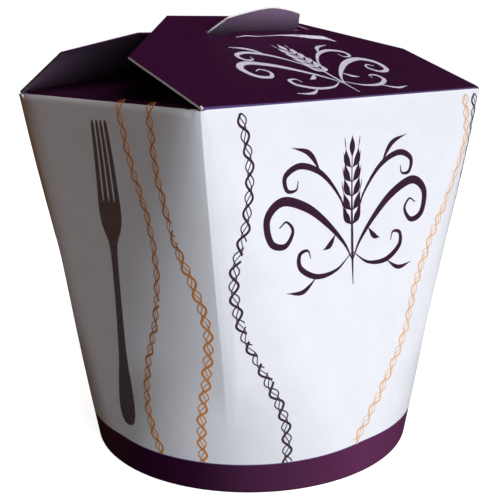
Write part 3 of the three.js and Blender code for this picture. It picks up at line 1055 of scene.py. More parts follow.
def flap_outline(crease, side_length, length):
    """The outline of the front or back flap, with its slanting shoulders."""
    start_half = RIM_WIDTH / 2 - RIM_CORNER_RADIUS - CORNER_EASE
    half = RIM_WIDTH / 2 - FLAP_INSET
    nose = half - (length - side_length) / math.tan(SHOULDER_ANGLE)
    right = [(start_half, 0.0), (start_half, crease + EDGE_STEP[0]),
             (half, crease + EDGE_STEP[1]), (half, crease + side_length)]
    left = [(-u, q) for u, q in right[::-1]]
    return right, left, nose


STRAIGHT_STEPS, CURVE_STEPS = 5, 12     # of the straight and the curved part of half a lip


def slot_lips(crease):
    """The near and far lips of the slot, from left to right: (across, along)."""
    end = SLOT_HALF_WIDTH - SLOT_STRAIGHT
    angles = [math.pi / 2 * i / CURVE_STEPS for i in range(CURVE_STEPS + 1)]
    path = [(SLOT_STRAIGHT * i / STRAIGHT_STEPS, 0.0, 1.0) for i in range(STRAIGHT_STEPS)]
    path += [(SLOT_STRAIGHT + end * math.sin(a), SLOT_DROP * (1 - math.cos(a)),
              1 + (SLOT_END_SHARE - 1) * math.sin(a)) for a in angles]
    path = [(-u, drop, part) for u, drop, part in path[:0:-1]] + path
    far = [(u, crease + SLOT_DISTANCE - drop + SLOT_OPENING / 2 * part)
           for u, drop, part in path]
    near = []
    for (u, along), (_, _, part) in zip(far, path):
        parted = eased((u - LIPS_PARTED[0]) / (LIPS_PARTED[1] - LIPS_PARTED[0]))
        opened = LIPS_LEFT_OPEN + (1 - LIPS_LEFT_OPEN) * parted
        near.append((u, along - SLOT_OPENING * part * opened))
    return near, far


def front_flap_form():
    """The front flap's place in mm for each (across, along), its stations, its bends, and the
    near and far lips of its slot, pushed up by the tongue."""
    half = RIM_DEPTH / 2
    nose_place = on_slope(half, FRONT_LENGTH, FRONT_SLOPE)
    at, stations, bends = rounded_path(
        [*flap_start("front", half, FRONT_SLOPE), nose_place], [FOLD_RADIUS])
    near, far = slot_lips(stations[1])
    lip_across = [u for u, _ in near]
    near_along, far_along = [q for _, q in near], [q for _, q in far]

    def surface(u, q):
        out, z = at(q)
        below = np.interp(u, lip_across, near_along) - q
        above = q - np.interp(u, lip_across, far_along)
        if -LIP_OVERLAP < below < NEAR_LIFT_REACH:
            z += (NEAR_LIFT * faded(u, *NEAR_LIFT_FADES)
                  * eased((NEAR_LIFT_REACH - below) / NEAR_LIFT_FALL))
        elif -LIP_OVERLAP < above < FAR_LIFT_REACH:
            z += (FAR_LIFT * faded(u, *FAR_LIFT_FADES)
                  * (1 - max(above, 0) / FAR_LIFT_REACH) ** 2)
        return np.array([u, out, z])

    return surface, stations, bends, near, far


FLAP_ROWS = 2.5            # between two rows of points of the front or back flap
NEAR_LIP_ROWS = [-0.8 * i for i in range(1, 10)]        # rows that follow the slot's lips
FAR_LIP_ROWS = [0.5, 1.2, 2.2, 3.5, 5.0, 7.0]
SLOT_EDGES = (-8, 3)       # the slot's own edges lie between these distances from its line


class NOODLEBOX_OT_front_flap(bpy.types.Operator):
    """Fold the front flap, with its slot pressed open by the tongue"""
    bl_idname = "noodle_box.front_flap"
    bl_label = "Front Flap"

    def execute(self, context):
        surface, stations, bends, near, far = front_flap_form()
        crease = stations[1]
        right, left, nose = flap_outline(crease, FRONT_SIDE_LENGTH, FRONT_LENGTH)
        outline = right + [(nose, crease + FRONT_LENGTH), (-nose, crease + FRONT_LENGTH)] + left
        beside = [(u, q + d) for u, q in near for d in NEAR_LIP_ROWS]
        beside += [(u, q + d) for u, q in far for d in FAR_LIP_ROWS]
        mesh = board_sheet("front_flap_board", [outline, near + far[::-1]],
                           rows_along(stations[-1], bends, FLAP_ROWS), surface,
                           printed_from=start_of_print(bends[0]), extra=beside)
        low, high = (surface(0.0, crease + SLOT_DISTANCE + edge)[1] for edge in SLOT_EDGES)

        def at_slot(place):
            return abs(place.x) < SLOT_HALF_WIDTH + 1 and low < place.y < high

        # the slot's own edge is painted as shade: plum where the slot is closed, and the violet
        # bounce colour elsewhere
        ink_over(mesh, PRINTED, lambda place: at_slot(place) and place.x < SLOT_CLOSED)
        ink_over(mesh, PAINTED_BOUNCE, at_slot)
        finish_piece("front_flap_board", mesh, "plum_board", ["front_flap"])
        return {"FINISHED"}


def under_front(y):
    """Height of a sheet that lies against the front flap's underside."""
    return (RIM_HEIGHT + (y + RIM_DEPTH / 2) * math.tan(FRONT_SLOPE)
            - (BOARD + SLIT_WIDTH) / math.cos(FRONT_SLOPE))


class NOODLEBOX_OT_back_flap(bpy.types.Operator):
    """Fold the back flap, whose shoulders go under the front flap and whose tongue goes over"""
    bl_idname = "noodle_box.back_flap"
    bl_label = "Back Flap"

    def execute(self, context):
        half = RIM_DEPTH / 2
        start = flap_start("back", half, BACK_SLOPE)
        bend = on_slope(half, BACK_SIDE_LENGTH, BACK_SLOPE)
        knee = (-BACK_KNEE, RIM_HEIGHT + BACK_KNEE_RISE)
        shoulder_end = (SHOULDER_REACH, under_front(-SHOULDER_REACH))
        root = (-TONGUE_ROOT, under_front(TONGUE_ROOT))
        tip = (root[0] + TONGUE_LENGTH * math.cos(TONGUE_SLOPE),
               root[1] + TONGUE_LENGTH * math.sin(TONGUE_SLOPE))
        radii = [FOLD_RADIUS, BACK_BEND_RADIUS, KNEE_RADIUS]
        at, stations, bends = rounded_path([*start, bend, knee, shoulder_end], radii)
        tongue_at, tongue_stations, tongue_bends = rounded_path(
            [*start, bend, knee, root, tip], [*radii, ROOT_RADIUS])
        crease, knee_at, end = stations[1], stations[3], stations[4]
        root_at, tip_at = tongue_stations[4], tongue_stations[5]

        right, left, nose = flap_outline(
            crease, BACK_SIDE_LENGTH, (half + SHOULDER_REACH) / math.cos(BACK_SLOPE))
        middle = -TONGUE_OFFSET
        slit = TONGUE_HALF_WIDTH + SLIT_WIDTH
        slit_start = knee_at + SLIT_FROM_KNEE
        tongue = [(TONGUE_HALF_WIDTH, slit_start),
                  (TONGUE_HALF_WIDTH, root_at + TONGUE_SIDE_LENGTH)]
        steps = 12
        for i in range(steps + 1):
            across = 1 - 2 * i / steps
            fall = (TONGUE_LENGTH - TONGUE_END_LENGTH) * abs(across) ** TONGUE_CROWN
            tongue.append((across * TONGUE_END_HALF_WIDTH, root_at + TONGUE_LENGTH - fall))
        tongue += [(-u, q) for u, q in tongue[1::-1]]
        # its end is cut askew, and rises to the right as the flap lies, which is to -u here
        tongue = [(u, q - TONGUE_SLANT * u * (q > root_at)) for u, q in tongue]
        outline = (right + [(nose, end), (middle + slit, end), (middle + slit, slit_start)]
                   + [(middle + u, q) for u, q in tongue]
                   + [(middle - slit, slit_start), (middle - slit, end), (-nose, end)] + left)

        def surface(u, q):
            on_tongue = abs(u - middle) < TONGUE_HALF_WIDTH + SLIT_WIDTH / 2 and q > knee_at
            out, z = (tongue_at if on_tongue else at)(q)
            return np.array([u, out, z])

        rows = {*rows_along(end, bends, FLAP_ROWS), *rows_along(tip_at, tongue_bends, FLAP_ROWS)}
        mesh = board_sheet("back_flap_board", [outline], rows, surface,
                           printed_from=start_of_print(bends[0]))
        turned_into_place(mesh, 2)
        low, high = TONGUE_EDGE_SHADE
        ink_over(mesh, PAINTED_BOUNCE, lambda place: place.x > 0 and low < place.z < high)
        ink_over(mesh, PRINTED, lambda place: place.x < SHOULDER_EDGE_SHADE)
        finish_piece("back_flap_board", mesh, "plum_board", ["back_flap"])
        return {"FINISHED"}


def side_flap_form(name):
    """A side flap's place in mm for each (across, along) before it is turned to its wall, its
    stations and its bends."""
    half = RIM_WIDTH / 2
    at, stations, bends = rounded_path(
        [*flap_start(name, half, SIDE_SLOPE, SIDE_FLAP_START),
         on_slope(half, SIDE_LENGTH, SIDE_SLOPE)], [SIDE_FOLD_RADIUS])

    def surface(u, q):
        out, z = at(q)
        return np.array([u, out, z])

    return surface, stations, bends


def curve_fold(mesh):
    """Turns the normals of a side flap's unprinted start as the wall's below it."""
    faces, _, places, normals = face_corners(mesh)
    start = np.array([face.material_index == UNPRINTED for face in mesh.polygons])[faces]
    far = from_side_crease(RIM_DEPTH / 2 - np.abs(places[:, 1]), places[:, 1])
    turn_normals(normals, start, places, curve_towards(SIDE_CURVE, far, places[:, 2]), 0)
    set_normals(mesh, normals, start)


SIDE_FLAP_ROWS, SIDE_FLAP_STEP = 3.0, 4.0   # between its points, along and across


class NOODLEBOX_OT_side_flaps(bpy.types.Operator):
    """Fold the two side flaps, which lie under the others"""
    bl_idname = "noodle_box.side_flaps"
    bl_label = "Side Flaps"

    def execute(self, context):
        for name, turns in (("left", 3), ("right", 1)):
            surface, (_, crease, end), bends = side_flap_form(name)
            foot = RIM_DEPTH / 2 - SIDE_INSET
            nose = foot - SIDE_TAPER * SIDE_LENGTH
            outline = [(foot, 0.0), (foot, crease), (nose, end), (-nose, end), (-foot, crease),
                       (-foot, 0.0)]
            mesh = board_sheet(name + "_flap_board", [outline],
                               rows_along(end, bends, SIDE_FLAP_ROWS), surface, SIDE_FLAP_STEP,
                               start_of_print(bends[0], SIDE_PRINT_START))
            finish_piece(name + "_flap_board", turned_into_place(mesh, turns), "plum_board",
                         [name + "_side_flap"])
            curve_fold(mesh)
        return {"FINISHED"}


# ---- printing ----

SEAM_GAP = 0.002           # points of the ink closer than this are one


def ink_tree(name, lines):
    """The geometry nodes that lay ink on a board. Lines are drawn as ribbons as wide as their
    radius says, swung from side to side where Reach isn't zero. A flat shape is laid as it is."""
    inputs = {"Board": ("NodeSocketObject", None), "Ink": ("NodeSocketMaterial", None),
              "Thickness": ("NodeSocketFloat", PRINT_PROUD * MM)}
    if lines:
        inputs.update({"Spacing": ("NodeSocketFloat", LINE_SPACING * MM),
                       "Reach": ("NodeSocketFloat", 0.0),
                       "Pitch": ("NodeSocketFloat", STRAND_PITCH * MM),
                       "Phase": ("NodeSocketFloat", 0.0)})
    tree, start, end = new_geometry_tree(name, inputs)
    board = add_node(tree, "GeometryNodeObjectInfo", {"Object": start.outputs["Board"]},
                     transform_space="RELATIVE").outputs["Geometry"]
    face_normal = add_node(tree, "GeometryNodeInputNormal").outputs[0]
    normal = add_node(tree, "GeometryNodeSampleNearestSurface",
                      {"Mesh": board, "Value": face_normal}, data_type="FLOAT_VECTOR").outputs[0]
    geometry = start.outputs["Geometry"]
    if lines:
        geometry = add_node(tree, "GeometryNodeResampleCurve",
                            {"Curve": geometry, "Length": start.outputs["Spacing"]},
                            mode="LENGTH").outputs[0]
        tangent = add_node(tree, "GeometryNodeInputTangent").outputs[0]
        side = add_node(tree, "ShaderNodeVectorMath", {0: tangent, 1: normal},
                        operation="CROSS_PRODUCT").outputs[0]
        along = add_node(tree, "GeometryNodeSplineParameter").outputs["Length"]
        values = {"along": along, "pitch": start.outputs["Pitch"],
                  "phase": start.outputs["Phase"], "reach": start.outputs["Reach"]}
        work_out(tree, values, (
            ("turns", "DIVIDE", "along", "pitch"),
            ("angle", "MULTIPLY_ADD", "turns", math.tau, "phase"),
            ("sine", "SINE", "angle"),
            ("swing", "MULTIPLY", "sine", "reach")))
        swing = add_node(tree, "ShaderNodeVectorMath", {0: side, "Scale": values["swing"]},
                         operation="SCALE").outputs[0]
        geometry = add_node(tree, "GeometryNodeSetPosition",
                            {"Geometry": geometry, "Offset": swing}).outputs[0]
        geometry = add_node(tree, "GeometryNodeSetCurveNormal",
                            {"Curve": geometry, "Normal": normal}, mode="FREE").outputs[0]
        profile = add_node(tree, "GeometryNodeCurvePrimitiveLine",
                           {"Start": (0, -1, 0), "End": (0, 1, 0)}).outputs[0]
        width = add_node(tree, "GeometryNodeInputRadius").outputs[0]
        geometry = add_node(tree, "GeometryNodeCurveToMesh",
                            {"Curve": geometry, "Profile Curve": profile,
                             "Scale": width}).outputs[0]
    nearest = add_node(tree, "GeometryNodeProximity", {"Target": board},
                       target_element="FACES").outputs["Position"]
    sunk = add_node(tree, "ShaderNodeVectorMath", {0: normal, "Scale": -PRINT_SUNK * MM},
                    operation="SCALE").outputs[0]
    base = add_node(tree, "GeometryNodeSetPosition",
                    {"Geometry": geometry, "Position": nearest, "Offset": sunk}).outputs[0]
    rise = add_node(tree, "ShaderNodeVectorMath",
                    {0: normal, "Scale": start.outputs["Thickness"]}, operation="SCALE")
    face_top = add_node(tree, "GeometryNodeExtrudeMesh",
                        {"Mesh": base, "Offset": rise.outputs[0], "Offset Scale": 1.0,
                         "Individual": False}, mode="FACES").outputs["Mesh"]
    underside = add_node(tree, "GeometryNodeFlipFaces", {"Mesh": base}).outputs[0]
    both = add_node(tree, "GeometryNodeJoinGeometry")
    tree.links.new(face_top, both.inputs[0])
    tree.links.new(underside, both.inputs[0])
    closed = add_node(tree, "GeometryNodeMergeByDistance",
                      {"Geometry": both.outputs[0], "Distance": SEAM_GAP * MM}).outputs[0]
    realized = add_node(tree, "GeometryNodeRealizeInstances", {"Geometry": closed}).outputs[0]
    inked = add_node(tree, "GeometryNodeSetMaterial",
                     {"Geometry": realized, "Material": start.outputs["Ink"]}).outputs[0]
    tree.links.new(inked, end.inputs["Geometry"])
    return tree


def lay_ink(source, board, ink_name, lines=True, **values):
    """The mesh of ink that a source curve or flat shape leaves on a board."""
    tree_name = "ink lines" if lines else "ink shapes"
    tree = bpy.data.node_groups.get(tree_name) or ink_tree(tree_name, lines)
    values = {name.title(): value for name, value in values.items()}
    mesh = shape_with(source, tree, {
        "Board": bpy.data.objects[board], "Ink": box_material(ink_name),
        "Thickness": (PRINT_PROUD + PRINT_SUNK) * MM, **values})
    discard(source)
    return mesh


def drawn_lines(lines):
    """A curve object of lines given as (points in mm, half widths in mm)."""
    curve = bpy.data.curves.new("drawn_lines", "CURVE")
    curve.dimensions = "3D"
    for points, widths in lines:
        spline = curve.splines.new("POLY")
        spline.points.add(len(points) - 1)
        for point, place, width in zip(spline.points, points, widths):
            point.co = (*(float(c) * MM for c in place), 1)
            point.radius = width * MM
    return new_object("drawn_lines", curve)


def joined(name, meshes):
    """One mesh of several, each keeping its material."""
    places, faces, materials, numbers = [], [], [], []
    for mesh in meshes:
        first = len(places)
        places += [tuple(v.co) for v in mesh.vertices]
        material = mesh.materials[mesh.polygons[0].material_index]
        if material not in materials:
            materials.append(material)
        number = materials.index(material)
        faces += [tuple(first + i for i in f.vertices) for f in mesh.polygons]
        numbers += [number] * len(mesh.polygons)
        bpy.data.meshes.remove(mesh)
    result = bpy.data.meshes.new(name)
    result.from_pydata(places, [], faces)
    for material in materials:
        result.materials.append(material)
    result.polygons.foreach_set("material_index", numbers)
    return result


# wall, ink, and where the strand runs: its distance from the wall's middle at even heights
# from the top down, with the heights of its two ends
STRANDS = (
    ("left", "ochre ink", (97.3, 9.05), (10, 13, 18.5, 21, 19.5, 15.5, 14, 17)),
    ("left", "ochre ink", (97.3, 9.05), (23, 23.5, 27.5, 33, 35.5, 33.5, 30.5, 29)),
    ("front", "plum ink", (98.1, 9.05), (-38, -35.5, -37, -39.5, -37, -31, -25.5, -24)),
    # this strand is the ochre painted lighter, as on the brightly lit front wall
    ("front", "peach ink", (98.1, 9.5), (42, 43.5, 38, 29, 22, 17, 8, -3)),
    ("front", "plum ink", (98.1, 9.05), (46.2, 46.8, 45.2, 45, 46, 48, 51, 53)),
)
# a strand's lines: half width, where in its twist the line starts, and share of the reach
STRAND_LINES = ((0.3, 0.0, 1.0), (0.16, math.pi, 1.0), (0.12, math.pi / 2, 0.55))
STRAND_ON_FLAP = 4.4        # length of a side wall's strand that is folded over onto its flap
STRAND_LEAN = 0.03          # of that end, across for each mm along
STRAND_POINTS, STRAND_END_POINTS = 120, 12


def smooth_line(values, count):
    """Evenly spaced values on a smooth curve through the given ones."""
    values = np.array(values, float)
    padded = np.concatenate([[2 * values[0] - values[1]], values, [2 * values[-1] - values[-2]]])
    places = np.linspace(0, len(values) - 1, count)
    result = []
    for place in places:
        i = min(int(place), len(values) - 2)
        t = place - i
        a, b, c, d = padded[i:i + 4]
        result.append(0.5 * (2 * b + (c - a) * t + (2 * a - 5 * b + 4 * c - d) * t ** 2
                             + (3 * b - a - 3 * c + d) * t ** 3))
    return result


def strand(path, board, ink_name, turn=1):
    """The lines of a strand that twist about a path, turning one way (1) or the other (-1)."""
    sizes = bpy.context.scene.noodle_box.sizes
    return [lay_ink(drawn_lines([(path, [half_width] * len(path))]), board, ink_name,
                    reach=sizes.strand_reach * reach, pitch=sizes.strand_pitch,
                    phase=turn * phase)
            for half_width, phase, reach in STRAND_LINES]


class NOODLEBOX_OT_strands(bpy.types.Operator):
    """Print the twisted strands that run down the walls"""
    bl_idname = "noodle_box.strands"
    bl_label = "Printed Strands"

    def execute(self, context):
        pail = WALLS["pail"]
        on_wall, on_flap = [], []
        for wall, ink_name, (top, end), offsets in STRANDS:
            path = [pail.point(wall, s, z) for s, z in
                    zip(smooth_line(offsets, STRAND_POINTS),
                        np.linspace(top, end, STRAND_POINTS))]
            on_wall += strand(path, "pail_wall", ink_name)
            if wall == "left":
                surface = side_flap_form(wall)[0]
                folded = [surface(offsets[0] - STRAND_LEAN * q, q)
                          for q in np.linspace(0.0, STRAND_ON_FLAP, STRAND_END_POINTS)]
                path = [(y, -x, z) for x, y, z in folded]
                on_flap += strand(path, "left_flap_board", ink_name, turn=-1)
        finish_piece("printed_strands", joined("printed_strands", on_wall), "printed_board")
        finish_piece("printed_strand_ends", joined("printed_strand_ends", on_flap),
                     "plum_board")
        return {"FINISHED"}


FORK_HALF_OUTLINE = (
    # from the middle of the handle's end, up one side, over two tines: (across, from the tip)
    (0.0, 81.2), (1.6, 80.9), (2.8, 79.8), (3.6, 77.6), (3.75, 75.0), (3.5, 72.0), (3.05, 68.4),
    (2.3, 64.5), (1.85, 60.0), (1.6, 53.0), (1.45, 45.0), (1.5, 37.0), (1.65, 33.6), (2.0, 31.6),
    (2.9, 29.9), (4.2, 28.0), (5.0, 26.0), (5.35, 23.5), (5.35, 21.5), (5.15, 19.0), (4.6, 10.0),
    (3.9, 1.4), (3.6, 0.4), (3.2, 0.0), (2.7, 0.4), (2.45, 1.4), (2.75, 10.0), (3.05, 18.8),
    (2.9, 20.2), (2.6, 20.8), (2.3, 20.2), (2.2, 18.8), (1.95, 10.0), (1.62, 1.4), (1.4, 0.4),
    (0.98, 0.0), (0.55, 0.4), (0.35, 1.4), (0.36, 10.0), (0.42, 18.8), (0.3, 20.2), (0.0, 20.8),
)
FORK_MIDDLE = (2.2, 54.1)           # on the left wall: from its middle, and the height
FORK_LEAN = math.radians(3.4)
FORK_ROWS = [1.5 * i for i in range(1, 55)]
FORK_STEP = 1.2


class NOODLEBOX_OT_fork(bpy.types.Operator):
    """Print the hatched fork on the left wall"""
    bl_idname = "noodle_box.fork"
    bl_label = "Printed Fork"

    def execute(self, context):
        half = list(FORK_HALF_OUTLINE)
        outline = half + [(-x, y) for x, y in half[-2:0:-1]]
        flat, triangles = triangulated([outline], FORK_ROWS, FORK_STEP)
        middle = half[0][1] / 2
        places = []
        for x, y in flat:
            down = y - middle
            across = FORK_MIDDLE[0] + x * math.cos(FORK_LEAN) + down * math.sin(FORK_LEAN)
            height = FORK_MIDDLE[1] - down * math.cos(FORK_LEAN) + x * math.sin(FORK_LEAN)
            places.append(WALLS["pail"].point("left", across, height))
        mesh = bpy.data.meshes.new("fork_shape")
        # y runs down the wall, so the triangles are turned over to face outwards
        mesh.from_pydata([Vector(p) * MM for p in places], [], [t[::-1] for t in triangles])
        printed = lay_ink(new_object("fork_shape", mesh), "pail_wall", "hatched plum ink",
                          lines=False)
        finish_piece("printed_fork", joined("printed_fork", [printed]), "printed_board")
        return {"FINISHED"}


def swelling(points, count, ends, widest, at=0.5):
    """A smooth line through points, and half widths that swell from its ends to a widest part."""
    xs, ys = (smooth_line([p[axis] for p in points], count) for axis in (0, 1))
    widths = []
    for i in range(count):
        t = i / (count - 1)
        share = t / at if t < at else (1 - t) / (1 - at)
        widths.append(ends + (widest - ends) * math.sin(share * math.pi / 2) ** 1.5)
    return list(zip(xs, ys)), widths


# one side of the ornament: points right of its middle in mm, the half widths at its ends and at
# its widest part, and where that is
CURLS = (
    (((0, -14), (3, -9), (9, -3), (16, 2), (24, 4.5), (29, 1), (28, -5), (23.5, -6.5),
      (20.8, -3.2), (22.8, -0.6), (25.2, -1.8)), 0.16, 1.15, 0.36),
    (((0.5, -4), (5, 4), (11, 10), (18, 12.5), (23, 10.5), (22.5, 7), (19.5, 6.8), (18.8, 9)),
     0.12, 0.8, 0.42),
    (((0.5, -12), (6, -15.5), (13, -16), (18.5, -13), (18.8, -9.5), (16, -8.8), (15, -11)),
     0.12, 0.75, 0.42),
    (((11, 10), (15, 15.2), (21, 17.2)), 0.06, 0.7, 0.45),
    (((6, -6), (8.2, -8.6), (10.6, -9.6)), 0.06, 0.75, 0.5),
    (((13, -16), (18, -19), (23.5, -18.4)), 0.06, 0.6, 0.5),
)
EAR_ROWS = 5


def ornament_lines():
    """A wheat ear between mirrored curls that roll outwards, in mm."""
    lines = []
    for sign in (-1, 1):
        for points, ends, widest, at in CURLS:
            lines.append(swelling([(sign * x, y) for x, y in points], 60, ends, widest, at))
        for row in range(EAR_ROWS):
            y = -4.5 + 3.7 * row
            tip = (sign * (3.3 - 0.25 * row), y + 4.9)
            lines.append(swelling([(sign * 0.25, y), (sign * 1.9, y + 1.9), tip], 14, 0.05, 1.05))
            lines.append(swelling([tip, (tip[0] * 1.12, tip[1] + 1.4),
                                   (tip[0] * 1.2, tip[1] + 2.9)], 8, 0.05, 0.14))
    lines.append(swelling([(0, -20.4), (0, -10), (0, 2), (0, 13)], 30, 0.12, 0.42, 0.3))
    lines.append(swelling([(0, 12.8), (0, 15.6), (0, 18.4)], 14, 0.05, 1.0))
    return lines


# an ornament's name, board, slot and ink, its middle on the board, and its scale
ORNAMENTS = (
    ("wall", "pail_wall", "printed_board", "plum ink", (-2.5, 72.5), 0.97),
    ("lid", "front_flap_board", "plum_board", "lilac ink", (2.0, 19.5), 0.84),
)


class NOODLEBOX_OT_ornaments(bpy.types.Operator):
    """Print the wheat ear and scrolls on the front wall and on the lid"""
    bl_idname = "noodle_box.ornaments"
    bl_label = "Printed Ornaments"

    def execute(self, context):
        surface, (_, crease, _), *_ = front_flap_form()
        on_board = {"wall": lambda across, up: WALLS["pail"].point("front", across, up),
                    "lid": lambda across, up: surface(across, crease + up)}
        for part, board, slot, ink_name, (across, up), scale in ORNAMENTS:
            lines = [([on_board[part](across + x * scale, up + y * scale) for x, y in path],
                      [w * scale for w in widths]) for path, widths in ornament_lines()]
            mesh = lay_ink(drawn_lines(lines), board, ink_name)
            name = "printed_ornament_" + part
            finish_piece(name, joined(name, [mesh]), slot)
        return {"FINISHED"}


# marks on the front flap's print, a painted highlight on the raised lip, the far lip's edge, a
# painted reflection along the fold and the torn corner's core: ink, points (across, from the
# crease) and half widths
WEAR_AND_HIGHLIGHT_LINES = (
    # a painted highlight on the crest of the raised near lip
    ("worn lilac ink", ((-9.0, 39.3), (-5.5, 38.8), (-2.0, 38.4), (2.0, 38.6), (6.0, 38.8),
                        (10.0, 38.7), (14.0, 38.3), (17.5, 37.9), (20.5, 37.5), (23.2, 37.0),
                        (25.6, 36.3)),
     (0.05, 0.2, 0.09, 0.08, 0.2, 0.45, 0.65, 0.75, 0.75, 0.7, 0.4)),
    # the far lip's cut edge beside the tongue, in the violet bounce colour
    ("worn lining ink", ((22.0, 50.4), (22.8, 49.0), (23.4, 47.6), (24.1, 46.3)),
     (0.2, 0.55, 0.5, 0.15)),
    # a painted reflection along the rounded fold at the flap's crease
    ("violet ink", ((-48.0, -0.05), (-16.0, -0.05), (16.0, -0.05), (48.0, -0.05)),
     (0.2, 0.2, 0.2, 0.2)),
    ("violet ink", ((-47.6, 0.35), (-40.0, 0.3), (-30.0, 0.2)), (0.2, 0.15, 0.05)),
    ("die cut board edge", ((-48.4, 0.1), (-48.0, 0.45), (-48.2, 0.95), (-47.7, 1.4)),
     (0.12, 0.3, 0.14, 0.05)),
)


WEAR_AND_HIGHLIGHT_POINTS = 40


class NOODLEBOX_OT_wear_and_highlights(bpy.types.Operator):
    """Paint a highlight on the raised lip's crest, the far lip's edge in the violet bounce colour
    and a reflection along the fold onto the front flap's print, and whiten its torn corner
    """
    bl_idname = "noodle_box.wear"
    bl_label = "Worn Print"

    def execute(self, context):
        surface, (_, crease, _), *_ = front_flap_form()
        meshes = []
        for ink_name, points, widths in WEAR_AND_HIGHLIGHT_LINES:
            across, along = (smooth_line([p[axis] for p in points], WEAR_AND_HIGHLIGHT_POINTS)
                             for axis in (0, 1))
            path = [surface(u, crease + w) for u, w in zip(across, along)]
            meshes.append(lay_ink(drawn_lines([(path, smooth_line(widths, WEAR_AND_HIGHLIGHT_POINTS))]),
                                  "front_flap_board", ink_name))
        finish_piece("worn_print", joined("worn_print", meshes), "plum_board")
        return {"FINISHED"}


# ---- the stage ----

CAMERA_AZIMUTH = math.radians(-39.98)
CAMERA_ELEVATION = math.radians(14.76)
CAMERA_ROLL = math.radians(-0.66)
CAMERA_DISTANCE = 253.8
CAMERA_TARGET = Vector((0.0, 0.0, 49.83))
CAMERA_LENS = 61.8
CAMERA_SENSOR = 36.0
CAMERA_SHIFT = 0.0218
CAMERA_CLIP = 0.01          # in metres, as the floor's size is
FLOOR_HALF_SIZE = 1.5
FLOOR_DROP = 0.05           # below the base, in mm

# distant soft lights: name, azimuth from the camera's own and elevation in degrees, strength,
# angle in degrees and tint
SUNS = (
    ("key", 40, 29, 2.86, 50, (0.965, 0.975, 1.0)),
    ("second key", 62, 30, 0.45, 50, (1.0, 0.97, 0.97)),
    ("right fill", 120, 15, 0.35, 50, (1.0, 0.98, 0.95)),
    ("low fill", 12, -35, 0.55, 60, (0.84, 0.87, 0.92)),
    ("back fill", 180, -10, 1.7, 40, (1.0, 1.0, 1.0)),
    ("warm bounce", -120, 5, 0.22, 60, (1.0, 0.45, 0.15)),
)


def direction_from(azimuth, elevation):
    """The unit vector towards an azimuth, 0 being in front of the box and 90 to its right."""
    return Vector((math.sin(azimuth) * math.cos(elevation),
                   -math.cos(azimuth) * math.cos(elevation), math.sin(elevation)))


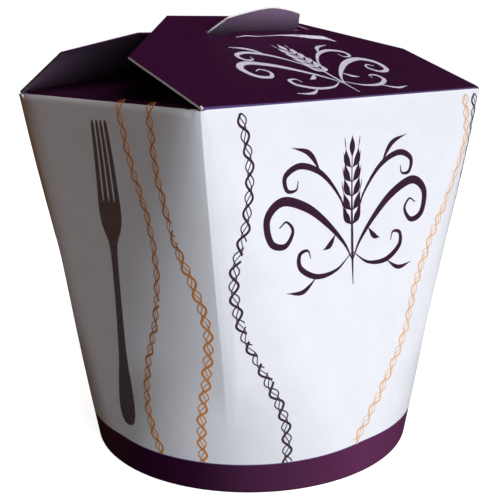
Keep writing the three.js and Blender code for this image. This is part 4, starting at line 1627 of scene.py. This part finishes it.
class NOODLEBOX_OT_stage(bpy.types.Operator):
    """Set up the floor, the soft studio light and the camera"""
    bl_idname = "noodle_box.stage"
    bl_label = "Stage"

    def execute(self, context):
        scene = context.scene
        scene.view_settings.view_transform = "Standard"
        scene.view_settings.look = "None"
        world = bpy.data.worlds.new("white studio")
        world.use_nodes = True
        background = world.node_tree.nodes["Background"]
        background.inputs["Color"].default_value = (1, 1, 1, 1)
        background.inputs["Strength"].default_value = 1.0
        world.cycles_visibility.diffuse = False
        world.cycles_visibility.glossy = False
        scene.world = world

        size = FLOOR_HALF_SIZE
        mesh = bpy.data.meshes.new("floor")
        mesh.from_pydata([(-size, -size, 0), (size, -size, 0), (size, size, 0), (-size, size, 0)],
                         [], [(0, 1, 2, 3)])
        material, tree, shader, place = new_material("pale paper backdrop", {
            "Roughness": 0.95, "Emission Color": (1, 1, 1, 1), "Emission Strength": 0.9})
        coat(tree, shader, place, mottled(tree, place, 60.0, (0.93, 0.93, 0.94), 0.968, 1.0))
        mesh.materials.append(material)
        floor = new_object("floor", mesh)
        floor.location.z = -FLOOR_DROP * MM
        floor.visible_diffuse = False
        floor.visible_glossy = False
        floor.visible_shadow = False

        for name, azimuth, elevation, strength, angle, tint in SUNS:
            light = bpy.data.lights.new(name, "SUN")
            light.energy = strength
            light.angle = math.radians(angle)
            light.color = tint
            sun = new_object(name, light)
            towards = direction_from(CAMERA_AZIMUTH + math.radians(azimuth),
                                     math.radians(elevation))
            sun.rotation_euler = towards.to_track_quat("Z", "Y").to_euler()

        camera_data = bpy.data.cameras.new("camera")
        camera_data.lens = CAMERA_LENS
        camera_data.sensor_width = CAMERA_SENSOR
        camera_data.shift_y = CAMERA_SHIFT
        camera_data.clip_start = CAMERA_CLIP
        camera = new_object("camera", camera_data)
        back = direction_from(CAMERA_AZIMUTH, CAMERA_ELEVATION)
        right = (-back).cross(Vector((0, 0, 1))).normalized()
        up = right.cross(-back)
        c, s = math.cos(CAMERA_ROLL), math.sin(CAMERA_ROLL)
        turned_right, turned_up = right * c + up * s, up * c - right * s
        axes = Matrix((turned_right, turned_up, back)).transposed().to_4x4()
        camera.matrix_world = (Matrix.Translation((CAMERA_TARGET + back * CAMERA_DISTANCE) * MM)
                               @ axes)
        scene.camera = camera
        return {"FINISHED"}


# ---- panel and registration ----

STEPS = (NOODLEBOX_OT_pail_wall, NOODLEBOX_OT_base_panel, NOODLEBOX_OT_side_flaps,
         NOODLEBOX_OT_back_flap, NOODLEBOX_OT_front_flap, NOODLEBOX_OT_strands,
         NOODLEBOX_OT_fork, NOODLEBOX_OT_ornaments, NOODLEBOX_OT_wear_and_highlights, NOODLEBOX_OT_stage)


class NOODLEBOX_PT_panel(bpy.types.Panel):
    """The noodle box's settings and its pieces"""
    bl_idname = "NOODLEBOX_PT_panel"
    bl_label = "Noodle Box"
    bl_space_type = "VIEW_3D"
    bl_region_type = "UI"
    bl_category = "Noodle Box"

    def draw(self, context):
        settings = context.scene.noodle_box
        for group in (settings.sizes, settings.colours):
            column = self.layout.column(align=True)
            for name in type(group).__annotations__:
                column.prop(group, name)
        for step in STEPS:
            self.layout.operator(step.bl_idname)


CLASSES = (NoodleBoxSizes, NoodleBoxColours, NoodleBoxSettings, *STEPS, NOODLEBOX_PT_panel)


def register():
    for cls in CLASSES:
        bpy.utils.register_class(cls)
    bpy.types.Scene.noodle_box = PointerProperty(type=NoodleBoxSettings)


def unregister():
    del bpy.types.Scene.noodle_box
    for cls in reversed(CLASSES):
        bpy.utils.unregister_class(cls)


def main():
    register()
    for step in STEPS:
        group, name = step.bl_idname.split(".")
        getattr(getattr(bpy.ops, group), name)()


if __name__ == "__main__":
    main()
